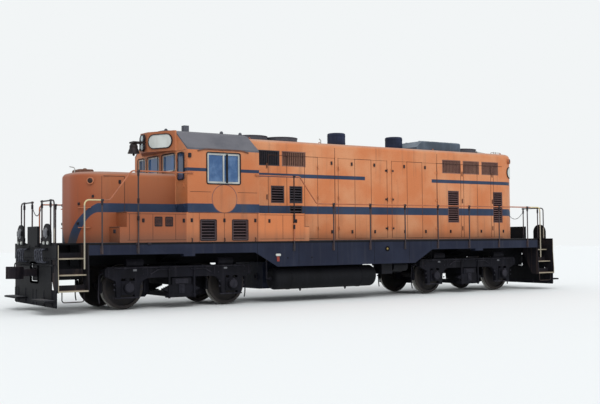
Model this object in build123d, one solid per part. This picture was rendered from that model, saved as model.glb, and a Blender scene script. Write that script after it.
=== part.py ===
from build123d import *
import math
import os

# Four-axle road-switcher diesel locomotive with a raised short hood, at full size in millimetres.
# X runs forward to the short hood, Y to the left side and Z up. The origin is on the centre line,
# half way along, at the lowest point of the wheel flanges. Names that end in _z are heights above
# the rail head, which lies one flange height above the origin.

# Running gear
wheel_dia = 1016.0
flange_height = 25.4
flange_width = 32.0
flange_round = 10.0
back_to_back = 1360.0
rim_width = 140.0
rim_depth = 75.0
rim_bevel = 6.0
tread_slope = 2.0
web_inset = 50.0
web_thick = 32.0
hub_radius = 130.0
hub_lip = 20.0
axle_radius = 82.0
collar = 15.0
journal_radius = 75.0
running_gap = 0.3
truck_wheelbase = 2743.0

# Truck frame, heights from the wheel centre
frame_rise = 477.0
frame_beam = 270.0
frame_inner = 985.0
frame_thick = 120.0
frame_overhang = 560.0
frame_bevel = 60.0
jaw_half = 170.0
jaw_rise = 207.0
leg_width = 130.0
leg_taper = 20.0
leg_drop = 223.0
arch_start = 58.0
arch_run = 240.0
arch_sag = 72.0
transom_x = 450.0
transom_width = 140.0
transom_depth = 195.0
transom_drop = 45.0

# Truck rigging
bowl_gap = 20.0
bowl_depth = 85.0
bolster_inset = 110.0
bolster_lap = 15.0
bolster_drop = 45.0
bolster_clear = 25.0
bolster_neck_half = 860.0
pin_radius = 50.0
pin_length = 220.0
spring_half = 480.0
spring_drop = 178.0
spring_height = 200.0
leaf_count = 5
leaf_step = 50.0
plank_depth = 100.0
plank_half = 180.0
plank_end = 50.0
hanger_x = 330.0
hanger_half = 22.0
hanger_thick = 30.0
hanger_top_drop = 25.0
hanger_low_drop = 115.0
hanger_pin_radius = 38.0
hanger_pin_inset = 62.0
box_lap = 20.0
box_inner_lap = 40.0
box_clear = 60.0
journal_lap = 65.0
cap_lap = 100.0
cap_radius = 125.0
spring_radius = 70.0
cylinder_radius = 92.0
cylinder_half = 210.0
cylinder_inset = 170.0
shoe_gap = 10.0
shoe_thick = 45.0
shoe_half = 130.0
shoe_y = 770.0
shoe_width = 90.0
brake_hanger_width = 50.0
brake_arm_drop = 55.0
brake_bar_lap = 20.0

# Traction motors
motor_clear = 50.0
motor_half = 500.0
motor_low = 268.0
motor_high = 262.0
motor_bevel = 110.0
motor_nose_half = 140.0
motor_nose_rise = 132.0
motor_nose_thick = 90.0
motor_arm_half = 100.0

# Deck, sills and ends
deck_half = 7900.0
deck_width_half = 1524.0
deck_z = 1543.0
deck_thick = 40.0
truck_setback = 3175.5
sill_depth = 272.0
sill_thick = 25.0
skirt_depth = 638.0
skirt_start = 113.0
skirt_slope = 646.0
jack_pad_half = 150.0
jack_pad_width = 180.0
jack_pad_depth = 60.0
centre_sill_half = 330.0
centre_sill_gap = 25.0
body_bolster_half = 280.0
body_bolster_end = 124.0
body_bolster_edge = 120.0
body_bolster_rise = 50.0
draft_half = 230.0
draft_length = 1150.0
draft_depth = 190.0
pocket_half = 100.0
pocket_length = 500.0
end_plate = 25.0
end_plate_inset = 20.0
end_plate_depth = 363.0
pilot_inset = 374.0
pilot_z = 260.0
coupler_hole_half = 250.0
coupler_hole_high = 200.0
footboard_inner = 520.0
footboard_outer = 44.0
footboard_depth = 260.0
footboard_thick = 40.0
drop_step_half = 360.0
drop_step_out = 55.0
drop_step_drop = 90.0
drop_step_height = 390.0
receptacle_inner = 710.0
receptacle_outer = 1190.0
receptacle_out = 45.0
receptacle_drop = 40.0
receptacle_height = 200.0
coupler_z = 880.0
coupler_reach = 660.0
coupler_neck = 360.0
shank_half = 80.0
shank_tail = 400.0
pocket_lip = 25.0
head_high = 140.0
knuckle_high = 115.0
jaw_half_width = 160.0
throat_half = 60.0
guard_arm = [(90.0, -190.0), (20.0, -150.0), (80.0, -90.0)]
knuckle_nose = [(60.0, 40.0), (10.0, 60.0), (0.0, 110.0), (40.0, 160.0), (140.0, 190.0)]

# Corner steps, with the drop of each tread below the deck
step_length = 700.0
step_recess = 594.0
stringer_thick = 12.0
stringer_out = 28.0
stringer_edge = 393.0
stringer_heel = 30.0
stringer_lap = 40.0
tread_thick = 25.0
tread_depth = 230.0
tread_drops = [333.0, 693.0, 1043.0]
tread_insets = [474.0, 339.0, 204.0]
kick_thick = 10.0
kick_height = 120.0
stirrup_radius = 12.0
stirrup_depth = 250.0
stirrup_inset = 100.0
stirrup_bend = 60.0

# Tank, reservoirs and brake rack
tank_front_gap = 593.0
tank_rear_gap = 1743.0
tank_z = 310.0
tank_edge = 180.0
reservoir_radius = 285.0
reservoir_inset = 444.0
reservoir_z = 590.0
reservoir_dome = 110.0
reservoir_gap = 95.0
band_half = 30.0
band_thick = 8.0
band_inset = 500.0
hanger_strap_half = 20.0
rack_gap = 150.0
rack_length = 950.0
rack_z = 640.0
rack_plate = 20.0
rack_drum_radius = 140.0
rack_drum_length = 500.0
rack_drum_rise = 180.0
rack_box_length = 370.0
rack_box_depth = 270.0
rack_box_height = 340.0
rack_filter_radius = 75.0
rack_filter_rise = 450.0

# Hoses across the ends: each leaves the end plate and is held to it again below
hose_places = [420.0, 570.0, 720.0, 870.0]
hose_radius = 18.0
hose_reach = 130.0
hose_drop = 130.0
hose_hang = 290.0
hose_shift = 60.0
hose_bend = 60.0

# Hoods
hood_half = 920.0
hood_height = 2622.0
hood_wall = 40.0
hood_corner = 750.0
hood_edge = 120.0
nose_height = 1657.0
nose_length = 2400.0
front_platform = 730.0
rear_platform = 780.0
front_bay = 2190.0
rear_bay = 3470.0

# Cab
cab_length = 1980.0
cab_wall = 60.0
eave_height = 2247.0
roof_slope_width = 574.0
shoulder_rise = 410.0
crown_rise = 130.0
roof_thick = 45.0
floor_rise = 697.0
floor_thick = 50.0
floor_leg = 60.0
floor_leg_inset = 700.0
vent_half = 70.0
vent_height = 130.0
vent_inset = 550.0
vent_y = 325.0

# Windows
window_round = 50.0
window_border = 30.0
sash_width = 45.0
sash_middle = 20.0
sash_thick = 46.0
frame_set = 5.0
frame_deep = 45.0
glass_thick = 10.0
front_window_drop = 100.0
front_window_height = 420.0
rear_window_drop = 110.0
rear_window_height = 630.0
side_window_drop = 110.0
side_window_height = 730.0
side_window_rear = 550.0
side_window_front = 530.0

# Doors and hinges
door_gap = 8.0
door_thick = 30.0
door_low = 57.0
door_top_drop = 395.0
door_first_mullion = 115.0
door_second_mullion = 170.0
hinge_radius = 11.0
hinge_out = 16.0
hinge_half = 25.0
hinge_play = 0.5
hinge_low = 270.0
hinge_high = 280.0
strap_length = 70.0
strap_thick = 6.0
frame_strap_length = 40.0
latch_inset = 110.0
latch_half = 25.0
latch_high = 45.0
latch_out = 22.0
latch_low_at = 180.0
latch_high_at = 140.0
cab_door_seam = 50.0
cab_door_edge = 84.0
cab_door_lift = 10.0
cab_door_drop = 40.0
cab_hinge_low = 180.0
cab_hinge_high = 220.0
cab_door_glass_low = 800.0
cab_door_glass_high = 70.0
cab_door_glass_side = 75.0

# Radiators and louvres
radiator_drop = 275.0
radiator_height = 400.0
shutter_inset = 5.0
shutter_border = 25.0
slat_pitch = 55.0
slat_half = 16.0
slat_thick = 4.0
slat_turn = 35.0
louvre_low = 497.0
louvre_high = 1437.0
louvre_split_low = 927.0
louvre_split_high = 987.0
louvre_short_low = 707.0
louvre_pitch = 62.0
louvre_half = 21.0
louvre_thick = 4.0
louvre_turn = 50.0
cab_louvre_low = 45.0
cab_louvre_high = 520.0

# Roof gear
fan_opening = 420.0
fan_wall = 45.0
fan_shroud_height = 155.0
fan_setback = 640.0
fan_spacing_gap = 30.0
rear_fan_inset = 1620.0
fan_hub = 120.0
fan_hub_low = 32.0
fan_hub_high = 38.0
fan_height = 80.0
fan_shaft = 30.0
fan_shaft_top = 110.0
fan_arm_half = 25.0
fan_arm_low = 15.0
fan_arm_high = 35.0
blade_half = 60.0
blade_thick = 4.0
blade_root = 10.0
blade_clear = 12.0
blade_turn = 25.0
blade_count = 8
stack_radius = 300.0
stack_height = 410.0
stack_edge = 90.0
stack_shares = (0.306, 0.8)
hatch_inset = 2250.0
hatch_half = 640.0
hatch_height = 280.0
hatch_gap = 30.0
hatch_slope = 240.0
hatch_lip = 90.0
hatch_edge = 50.0
horn_inset = 700.0
horn_post = 60.0
horn_spread = 110.0
horn_length = 380.0
horn_small = 18.0
horn_mouth = 60.0
horn_base_length = 50.0
horn_base_lap = 40.0
horn_back = 20.0
horn_rise = 15.0

# Light housing, lamps, number boards and bell
housing_reach = 430.0
housing_half = 950.0
housing_lip = 60.0
housing_lip_half = 930.0
housing_face_half = 200.0
housing_drop = 30.0
housing_rise = 50.0
lamp_radius = 95.0
lamp_depth = 50.0
lamp_spacing = 200.0
rear_lamp_drop = 485.0
rear_lamp_spacing = 280.0
class_lamp_radius = 70.0
class_lamp_out = 45.0
class_lamp_drop = 220.0
class_lamp_front_turn = 53.0
class_lamp_rear_turn = 115.0
board_length = 700.0
board_height = 320.0
board_round = 150.0
board_thick = 18.0
rear_board_drop = 565.0
bell_reach = 270.0
bell_mouth = 150.0
bell_waist = 100.0
bell_crown = 50.0
bell_height = 260.0
bell_drop = 30.0
bell_shoulder_inset = 12.0
bell_shoulder_drop = 40.0
bell_waist_drop = 120.0
bell_arm_y = 110.0
bell_arm_thick = 20.0
bell_arm_high = 40.0
bell_arm_past = 60.0
bell_bar_back = 25.0
bell_bar_lap = 10.0
bell_arm_drop = 5.0

# Engine, seats and stand
engine_end = 120.0
engine_rear = 70.0
crank_inset = 360.0
crank_height = 1157.0
bank_inset = 490.0
bank_height = 1807.0
bank_end = 180.0
generator_radius = 560.0
generator_length = 1021.0
generator_rise = 600.0
seat_x = 860.0
seat_inset = 524.0
seat_half = 220.0
seat_height = 520.0
seat_thick = 90.0
seat_back_height = 950.0
seat_back_thick = 80.0
seat_post = 45.0
seat_foot = 160.0
seat_foot_thick = 20.0
seat_lap = 20.0
seat_back_inset = 10.0
stand_front = 270.0
stand_depth = 450.0
stand_height = 1150.0
stand_ledge = 800.0
stand_outer = 624.0
stand_width = 400.0

# Walkway boxes and handrails
front_box_length = 1530.0
rear_box_length = 1350.0
box_step_length = 170.0
rear_box_step_length = 140.0
box_step_height = 357.0
rail_radius = 17.0
rail_out = 24.0
rail_low_height = 957.0
rail_high_height = 1637.0
rail_bend = 110.0
rail_start_z = 970.0
rail_setback = 110.0
rail_slope_front = 250.0
rail_slope_lap = 110.0
rail_slope_rear = 160.0
rail_slope_end = 230.0
rail_cab_lap = 130.0
rail_bracket_half = 15.0
post_foot_half = 35.0
post_foot_thick = 12.0
post_foot_low = 253.0
post_foot_high = 73.0
post_foot_lap = 10.0
first_post_gap = 180.0
second_post_gap = 270.0
clamp_radius = 28.0
clamp_half = 32.0
rear_post_start = 764.0
rear_post_end = 450.0
rear_post_count = 7
short_post_inset = 330.0
short_post_height = 457.0
end_rail_inset = 30.0
end_rail_inner = 350.0
end_post_outer = 950.0
end_rail_outer = 344.0
end_rail_bend = 90.0

# Worked out along the body
axle_x = truck_wheelbase / 2
truck_x = deck_half - truck_setback
truck_reach = axle_x + frame_overhang
truck_gap = truck_x - truck_reach
step_inner = deck_half - step_length
nose_front = deck_half - front_platform
hood_rear = deck_half - rear_platform
hood_end_x = hood_corner - hood_rear
cab_front_x = nose_front - nose_length
cab_rear_x = cab_front_x - cab_length
bay_front = cab_rear_x - front_bay
bay_rear = rear_bay - hood_rear
tank_x = (tank_rear_gap - truck_gap, truck_gap - tank_front_gap)
coupler_face = deck_half + coupler_reach

# Worked out across the body
cab_half = deck_width_half
shoulder_half = cab_half - roof_slope_width
frame_outer = frame_inner + frame_thick
journal_end = frame_outer + journal_lap
bowl_radius = transom_x - transom_width / 2 - bowl_gap
bolster_half = bowl_radius - bolster_inset
rail_y = deck_width_half + rail_out
reservoir_y = deck_width_half - reservoir_inset
door_seam_y = hood_half + cab_door_seam
cab_door_width = cab_half - cab_door_edge - door_seam_y

# Worked out upwards, from the origin
rail = flange_height
wheel_radius = wheel_dia / 2
axle_z = rail + wheel_radius
frame_top = axle_z + frame_rise
beam_low = frame_top - frame_beam
jaw_top = axle_z + jaw_rise
leg_low = axle_z - leg_drop
spring_low = axle_z - spring_drop
spring_top = spring_low + spring_height
deck = rail + deck_z
deck_low = deck - deck_thick
centre_low = frame_top + centre_sill_gap
coupler = rail + coupler_z
floor = deck + floor_rise
eave = deck + eave_height
shoulder = eave + shoulder_rise
crown = shoulder + crown_rise
nose_top = deck + nose_height
hood_top = deck + hood_height
rail_low = deck + rail_low_height
rail_high = deck + rail_high_height


def block(x, y, z):
    """A box between the low and high values of each pair."""
    middle = Pos((x[0] + x[1]) / 2, (y[0] + y[1]) / 2, (z[0] + z[1]) / 2)
    return middle * Box(x[1] - x[0], y[1] - y[0], z[1] - z[0])


def side_plate(outline, y):
    """An outline in X and Z carried across from the low to the high y."""
    plane = Plane(origin=(0, y[0], 0), x_dir=(1, 0, 0), z_dir=(0, -1, 0))
    return extrude(plane * make_face(outline), amount=y[1] - y[0], dir=(0, 1, 0))


def cross_plate(outline, x):
    """An outline in Y and Z carried along from the low to the high x."""
    plane = Plane(origin=(x[0], 0, 0), x_dir=(0, 1, 0), z_dir=(1, 0, 0))
    return extrude(plane * make_face(outline), amount=x[1] - x[0], dir=(1, 0, 0))


def plan_plate(outline, z):
    """An outline in X and Y raised from the low to the high z."""
    return extrude(Pos(0, 0, z[0]) * make_face(outline), amount=z[1] - z[0])


def loop(*points):
    """A closed outline of straight edges."""
    return Polyline(*points, close=True)


def rod_x(radius, x, y, z):
    return Pos((x[0] + x[1]) / 2, y, z) * Rot(0, 90, 0) * Cylinder(radius, x[1] - x[0])


def rod_y(radius, x, y, z):
    return Pos(x, (y[0] + y[1]) / 2, z) * Rot(90, 0, 0) * Cylinder(radius, y[1] - y[0])


def rod_z(radius, x, y, z):
    return Pos(x, y, (z[0] + z[1]) / 2) * Cylinder(radius, z[1] - z[0])


def tube(points, radius=rail_radius, bend=rail_bend):
    """A round bar along straight runs with its corners bent to one radius."""
    path = FilletPolyline(*points, radius=bend) if len(points) > 2 else Line(*points)
    return sweep(Plane(origin=path @ 0, z_dir=path % 0) * Circle(radius), path=path)


def rounded_x(x, y, z, radius):
    """A plate across X with rounded corners, between the low and high y and z."""
    middle = Plane(origin=(x[0], (y[0] + y[1]) / 2, (z[0] + z[1]) / 2), x_dir=(0, 1, 0), z_dir=(1, 0, 0))
    return extrude(middle * RectangleRounded(y[1] - y[0], z[1] - z[0], radius), amount=x[1] - x[0])


def span(low, high, side):
    """The low and high values of a pair, on the side or end given by 1 or -1."""
    return sorted((side * low, side * high))


def mirrored(shape):
    """The same shape on the right side."""
    return mirror(shape, about=Plane.XZ)


def turned(shape):
    """The same shape at the other end."""
    return mirror(shape, about=Plane.YZ)


def pair(shape):
    return [shape, mirrored(shape)]


def fused(shapes):
    total = shapes[0]
    for shape in shapes[1:]:
        total = total + shape
    return total


def placed(shape, at, turn, flip):
    """A door made along +X and facing +Y, mirrored if asked, turned about Z and moved."""
    made = mirrored(shape) if flip else shape
    return Pos(at[0], at[1], 0) * Rot(0, 0, turn) * made


# Doors: each is made with its hinge axis on Z through the origin, running to +X and facing +Y
def door_leaf(width, z, hinges, window=None):
    """Leaf with its hinge straps, latches and, where it has one, its window opening."""
    face = -hinge_out
    leaf = block((door_gap / 2, width - door_gap / 2), (face - door_thick, face),
                 (z[0] + door_gap, z[1] - door_gap))
    if window:
        leaf = leaf - block(window[0], (face - 2 * door_thick, 0), window[1])
    parts = [leaf]
    for hinge_z in hinges:
        parts.append(hinge_strap(1, hinge_z, -hinge_half, hinge_half))
    x = (width - latch_inset - latch_half, width - latch_inset + latch_half)
    under = window[1][0] if window else z[1]
    for latch_z in (z[0] + latch_low_at, under - latch_high_at):
        parts.append(block(x, (face, face + latch_out), (latch_z - latch_high, latch_z + latch_high)))
    return fused(parts)


def hinge_strap(side, hinge_z, low, high):
    """A barrel with its strap, which runs along the leaf (side 1) or the frame (side -1)."""
    z = (hinge_z + low, hinge_z + high)
    barrel = rod_z(hinge_radius, 0, 0, z)
    length = strap_length if side > 0 else frame_strap_length
    web = block(span(0, length, side), (-hinge_radius, strap_thick - hinge_radius), z)
    pad = block(span(door_gap / 2 + 2, length, side), (-hinge_out, strap_thick / 2 - hinge_radius), z)
    return barrel + web + pad


def frame_hinges(hinges):
    """The frame's half of each hinge: a barrel above and one below the leaf's."""
    parts = []
    for hinge_z in hinges:
        for low in (-2 * hinge_half - hinge_play, hinge_half + hinge_play):
            parts.append(hinge_strap(-1, hinge_z, low, low + hinge_half))
    return parts


# Engine-room doors: seven door widths fill the bay, with a mullion after the first and the fourth
door_width = (bay_front - bay_rear - door_first_mullion - door_second_mullion) / 7
after_first = bay_front - door_width - door_first_mullion
after_fourth = after_first - 3 * door_width - door_second_mullion

# name, x of the hinge seam, +1 where the leaf runs forward from it
engine_doors = [
    ("a", bay_front, -1),
    ("b", after_first, -1),
    ("c", after_fourth + door_second_mullion, 1),
    ("d", after_fourth, -1),
    ("e", bay_rear, 1),
]
engine_door_z = (deck + door_low, hood_top - door_top_drop)
engine_hinges = [engine_door_z[0] + hinge_low, (engine_door_z[0] + engine_door_z[1]) / 2,
                 engine_door_z[1] - hinge_high]
cab_door_z = (floor + cab_door_lift, eave - cab_door_drop)
cab_hinges = [cab_door_z[0] + cab_hinge_low, cab_door_z[1] - cab_hinge_high]
cab_door_glass = ((cab_door_glass_side, cab_door_width - cab_door_glass_side),
                  (floor + cab_door_glass_low, cab_door_z[1] - cab_door_glass_high))


def engine_door_place(hinge_x, run, side):
    """Place of an engine door on the left (side 1) or the right (side -1)."""
    flip = run != side
    turn = 0 if run > 0 else 180
    return (hinge_x, side * (hood_half + hinge_out)), turn, flip


cab_door_places = {
    "front": ((cab_front_x + hinge_out, door_seam_y), 90, True),
    "rear": ((cab_rear_x - hinge_out, -door_seam_y), -90, True),
}


# Underframe
def underframe():
    """Deck plates, centre sill, body bolsters with their centre pins, and draft boxes."""
    platform_half = deck_width_half - step_recess
    parts = [block((-step_inner, step_inner), (-deck_width_half, deck_width_half), (deck_low, deck)),
             block((-step_inner, step_inner), (-centre_sill_half, centre_sill_half), (centre_low, deck_low))]
    bolster_y = deck_width_half - body_bolster_end
    low = centre_low + body_bolster_rise
    section = loop((centre_sill_half, deck_low), (bolster_y, deck_low),
                   (bolster_y, deck_low - body_bolster_edge),
                   (centre_sill_half + body_bolster_rise, low), (centre_sill_half, low))
    arm = cross_plate(section, (truck_x - body_bolster_half, truck_x + body_bolster_half))
    bowl = rod_z(bowl_radius - bowl_gap, truck_x, 0, (frame_top + running_gap, centre_low))
    pin = rod_z(pin_radius, truck_x, 0, (frame_top - pin_length, frame_top + running_gap))
    pocket_x = (deck_half - pocket_length, deck_half)
    draft_x = (deck_half - draft_length, pocket_x[0])
    draft_z = (coupler - draft_depth, centre_low)
    pocket_z = (coupler - pocket_half, coupler + pocket_half)
    end = pair(arm) + [
        bowl, pin,
        block((step_inner, deck_half), (-platform_half, platform_half), (deck_low, deck)),
        block((step_inner, deck_half), (-draft_half, draft_half), (centre_low, deck_low)),
        block(draft_x, (-draft_half, draft_half), draft_z),
        block(pocket_x, (-draft_half, draft_half), (draft_z[0], pocket_z[0])),
        block(pocket_x, (-draft_half, draft_half), (pocket_z[1], draft_z[1])),
    ]
    end += pair(block(pocket_x, (pocket_half, draft_half), pocket_z))
    return parts + end + [turned(shape) for shape in end]


def side_sills():
    """Deep side sill with the skirt that widens it between the trucks, and its jacking pads."""
    sill_low = deck - sill_depth
    high_x = truck_gap + skirt_start
    low_x = high_x - skirt_slope
    right = [(high_x, sill_low), (step_inner, sill_low), (step_inner, deck_low)]
    outline = loop((-low_x, deck - skirt_depth), (low_x, deck - skirt_depth), *right,
                   *[(-x, z) for x, z in reversed(right)])
    plate = side_plate(outline, (deck_width_half - sill_thick, deck_width_half))
    for x in (-truck_x, truck_x):
        plate = plate + block((x - jack_pad_half, x + jack_pad_half),
                              (deck_width_half - jack_pad_width, deck_width_half),
                              (sill_low - jack_pad_depth, sill_low))
    return pair(plate)


def pilots():
    """End plate with its pilot sheet, open for the coupler; footboards, drop step and receptacles."""
    half = deck_width_half - end_plate_inset
    inner = deck_width_half - pilot_inset
    low = rail + pilot_z
    edge = deck - end_plate_depth
    front_x = deck_half + end_plate
    plate = cross_plate(loop((-half, deck), (half, deck), (half, edge), (inner, edge), (inner, low),
                             (-inner, low), (-inner, edge), (-half, edge)), (deck_half, front_x))
    plate = plate - block((deck_half - 1, front_x + 1), (-coupler_hole_half, coupler_hole_half),
                          (coupler - coupler_hole_high, coupler + coupler_hole_high))
    board = block((front_x, front_x + footboard_depth),
                  (footboard_inner, deck_width_half - footboard_outer), (low, low + footboard_thick))
    folded = block((front_x, front_x + drop_step_out), (-drop_step_half, drop_step_half),
                   (deck - drop_step_drop, deck + drop_step_height))
    middle = (receptacle_inner + receptacle_outer) / 2
    round_top = deck + receptacle_height + (receptacle_outer - receptacle_inner) / 2
    low = deck - receptacle_drop
    high = deck + receptacle_height
    outline = [Line((receptacle_inner, low), (receptacle_outer, low)),
               Line((receptacle_outer, low), (receptacle_outer, high)),
               ThreePointArc((receptacle_outer, high), (middle, round_top), (receptacle_inner, high)),
               Line((receptacle_inner, high), (receptacle_inner, low))]
    stand = cross_plate(outline, (front_x, front_x + receptacle_out))
    front = [plate, folded] + pair(board) + pair(stand)
    return front + [turned(shape) for shape in front]


def steps():
    """Two stringers with three treads, their kick plates and a stirrup in each corner."""
    recess = deck_width_half - step_recess
    outer = deck_width_half + stringer_out
    foot_z = deck - tread_drops[2]
    outline = loop((recess, deck_low), (deck_width_half, deck_low), (deck_width_half, deck - stringer_edge),
                   (outer, foot_z + kick_height), (outer, foot_z - stringer_lap),
                   (deck_width_half - tread_insets[2] - stringer_heel, foot_z - stringer_lap),
                   (recess, deck - tread_drops[0] - kick_height))
    parts = [cross_plate(outline, (step_inner, step_inner + stringer_thick)),
             cross_plate(outline, (deck_half - stringer_thick, deck_half))]
    x = (step_inner + stringer_thick - 1, deck_half - stringer_thick + 1)
    for drop, inset in zip(tread_drops, tread_insets):
        y = deck_width_half - inset
        top = deck - drop
        parts.append(block(x, (y, y + tread_depth), (top - tread_thick, top)))
        parts.append(block(x, (y, y + kick_thick), (top - 1, top + kick_height)))
    y = deck_width_half - stringer_out
    low = foot_z - stirrup_depth
    ends = (step_inner + stirrup_inset, deck_half - stirrup_inset)
    parts.append(tube([(ends[0], y, foot_z - kick_thick), (ends[0], y, low), (ends[1], y, low),
                       (ends[1], y, foot_z - kick_thick)], stirrup_radius, stirrup_bend))
    front = pair(fused(parts))
    return front + [turned(shape) for shape in front]


def couplers():
    """Shank, guard arm and knuckle at each end."""
    neck = coupler_face - coupler_neck
    jaw = coupler_face - 2 * shank_half
    root = jaw - shank_half + running_gap
    tail = deck_half - shank_tail
    shank = block((tail, neck + shank_half), (-shank_half, shank_half),
                  (coupler - shank_half, coupler + shank_half))
    fit = pocket_half - running_gap
    seat = block((tail, deck_half - pocket_lip), (-fit, fit), (coupler - fit, coupler - shank_half + 1))
    head = loop((neck, -shank_half), (root, -jaw_half_width), *[(coupler_face - back, y) for back, y in guard_arm],
                (jaw, -throat_half), (jaw, throat_half), (root, jaw_half_width), (neck, shank_half))
    knuckle = loop((root, throat_half), (jaw, throat_half),
                   *[(coupler_face - back, y) for back, y in knuckle_nose], (root, jaw_half_width))
    body = shank + seat + plan_plate(head, (coupler - head_high, coupler + head_high))
    body = body + plan_plate(knuckle, (coupler - knuckle_high, coupler + knuckle_high))
    return [body, Rot(0, 0, 180) * body]


# Fuel tank and air
def fuel_tank():
    """Tank with rounded lower corners, hung below the centre sill."""
    half = reservoir_y - reservoir_radius - reservoir_gap
    tank = block(tank_x, (-half, half), (rail + tank_z, centre_low))
    lower = tank.edges().filter_by(Axis.X).sort_by(Axis.Z)[:2]
    return fillet(lower, tank_edge)


def air_reservoirs():
    """Long reservoir on each side of the tank, with domed ends, two bands and two hangers."""
    z = rail + reservoir_z
    drum = rod_x(reservoir_radius, tank_x, reservoir_y, z)
    drum = fillet(drum.edges().filter_by(GeomType.CIRCLE), reservoir_dome)
    hangers = []
    for x in (tank_x[0] + band_inset, tank_x[1] - band_inset):
        ends = (x - band_half, x + band_half)
        drum = drum + rod_x(reservoir_radius + band_thick, ends, reservoir_y, z)
        low = z + math.sqrt((reservoir_radius + band_thick) ** 2 - hanger_strap_half ** 2)
        strap_y = (reservoir_y - hanger_strap_half, reservoir_y + hanger_strap_half)
        strap = block(ends, strap_y, (low, deck_low))
        hangers.append(strap - rod_x(reservoir_radius + band_thick, (ends[0] - 1, ends[1] + 1), reservoir_y, z))
    shapes = [drum] + hangers
    return shapes + [mirrored(shape) for shape in shapes]


def brake_equipment():
    """Rack of valves and small reservoirs behind the tank, and the air hoses across each end."""
    front = tank_x[0] - rack_gap
    rear = front - rack_length
    y = reservoir_y - 2 * rack_plate
    face = y + rack_plate
    low = rail + rack_z
    box_front = front - rack_plate
    box_low = low - rack_plate
    parts = [block((rear, front), (y, face), (low, deck_low)),
             rod_x(rack_drum_radius, (rear, rear + rack_drum_length), face + rack_drum_radius - 2,
                   low + rack_drum_rise),
             block((box_front - rack_box_length, box_front), (face - 1, face + rack_box_depth),
                   (box_low, box_low + rack_box_height)),
             rod_y(rack_filter_radius, rear + rack_drum_length / 2, (face - 1, face + rack_box_depth),
                   low + rack_filter_rise)]
    plate_x = deck_half + end_plate
    out_x = plate_x + hose_reach
    high = deck - hose_drop
    hoses = []
    for y in hose_places:
        held_y = y + hose_shift
        hoses += pair(tube([(plate_x, y, high), (out_x, y, high), (out_x, held_y, high - hose_hang),
                            (plate_x, held_y, high - hose_hang)], hose_radius, hose_bend))
    return pair(fused(parts)) + hoses + [turned(hose) for hose in hoses]


# Hoods
def hood_plan(half, wall_x, end_x, corner, inset=0.0):
    """Plan outline of a hood: square at the cab and round-cornered at its end."""
    run = 1 if end_x > wall_x else -1
    y = half - inset
    x = end_x - run * inset
    radius = corner - inset
    centre_x = x - run * radius
    centre_y = y - radius
    slant = radius * math.sqrt(0.5)
    left = ThreePointArc((centre_x, y), (centre_x + run * slant, centre_y + slant), (x, centre_y))
    right = ThreePointArc((x, -centre_y), (centre_x + run * slant, -centre_y - slant), (centre_x, -y))
    return [Line((wall_x, y), (centre_x, y)), left, Line((x, centre_y), (x, -centre_y)), right,
            Line((centre_x, -y), (wall_x, -y)), Line((wall_x, -y), (wall_x, y))]


def hood_block(wall_x, end_x, top, low, inset=0.0):
    """The hood's outside, or the hollow within it when it is inset by the wall."""
    body = plan_plate(hood_plan(hood_half, wall_x, end_x, hood_corner, inset), (low, top - inset))
    run = 1 if end_x > wall_x else -1
    edges = [e for e in body.edges().group_by(Axis.Z)[-1] if (e @ 0.5).X * run > wall_x * run + 1]
    return fillet(edges, hood_edge - inset)


def nose():
    """Hollow short hood."""
    outside = hood_block(cab_front_x, nose_front, nose_top, deck)
    inside = hood_block(cab_front_x - 1, nose_front, nose_top, deck - 1, hood_wall)
    return outside - inside


def long_hood():
    """Side walls, roof and rounded rear end of the long hood, split where the panels meet."""
    outside = hood_block(cab_rear_x, -hood_rear, hood_top, deck)
    inside = hood_block(cab_rear_x + 1, -hood_rear, hood_top, deck - 1, hood_wall)
    shell = outside - inside
    roof_low = hood_top - hood_edge
    reach = hood_half + 1
    roof = shell & block((hood_end_x, cab_rear_x), (-reach, reach), (roof_low, hood_top + 1))
    end = shell & block((-hood_rear - 1, hood_end_x), (-reach, reach), (deck, hood_top + 1))
    walls = []
    for side in (-1, 1):
        y = span(hood_half - hood_wall - 1, reach, side)
        wall = shell & block((hood_end_x, cab_rear_x), y, (deck, roof_low))
        for name, hinge_x, run in engine_doors:
            wall = wall - block(sorted((hinge_x, hinge_x + run * door_width)), y, engine_door_z)
            at, turn, flip = engine_door_place(hinge_x, run, side)
            for strap in frame_hinges(engine_hinges):
                wall = wall + placed(strap, at, turn, flip)
        for x in radiator_openings:
            wall = wall - block(x, y, radiator_z)
        for x, z in louvre_openings:
            wall = wall - block(x, y, z)
        walls.append(wall)
    for fan_x in fan_places:
        roof = roof - rod_z(fan_opening, fan_x, 0, (roof_low, hood_top + 2))
    return walls, roof, end


# Radiators: distances of each opening's ends from the cab, and from the rear end of the hood
radiator_openings = [(cab_rear_x - far, cab_rear_x - near)
                     for near, far in ((330.0, 990.0), (1060.0, 1810.0))]
radiator_openings += [(near - hood_rear, far - hood_rear)
                      for near, far in ((2510.0, 3250.0), (1750.0, 2420.0), (940.0, 1650.0))]
radiator_z = (hood_top - radiator_drop - radiator_height, hood_top - radiator_drop)

# Louvres: places along the hood, and low and high edges
louvre_openings = [
    ((cab_rear_x - 1130.0, cab_rear_x - 720.0), (deck + louvre_split_high, deck + louvre_high)),
    ((cab_rear_x - 1700.0, cab_rear_x - 1290.0), (deck + louvre_split_high, deck + louvre_high)),
    ((cab_rear_x - 1700.0, cab_rear_x - 1290.0), (deck + louvre_short_low, deck + louvre_split_low)),
    ((2600.0 - hood_rear, 3040.0 - hood_rear), (deck + louvre_low, deck + louvre_high)),
    ((780.0 - hood_rear, 1180.0 - hood_rear), (deck + louvre_low, deck + louvre_high)),
]
cab_louvre_openings = [(x, (deck + cab_louvre_low, deck + cab_louvre_high))
                       for x in ((cab_rear_x + 340.0, cab_rear_x + 760.0),
                                 (cab_rear_x + 1220.0, cab_rear_x + 1630.0))]


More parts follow.
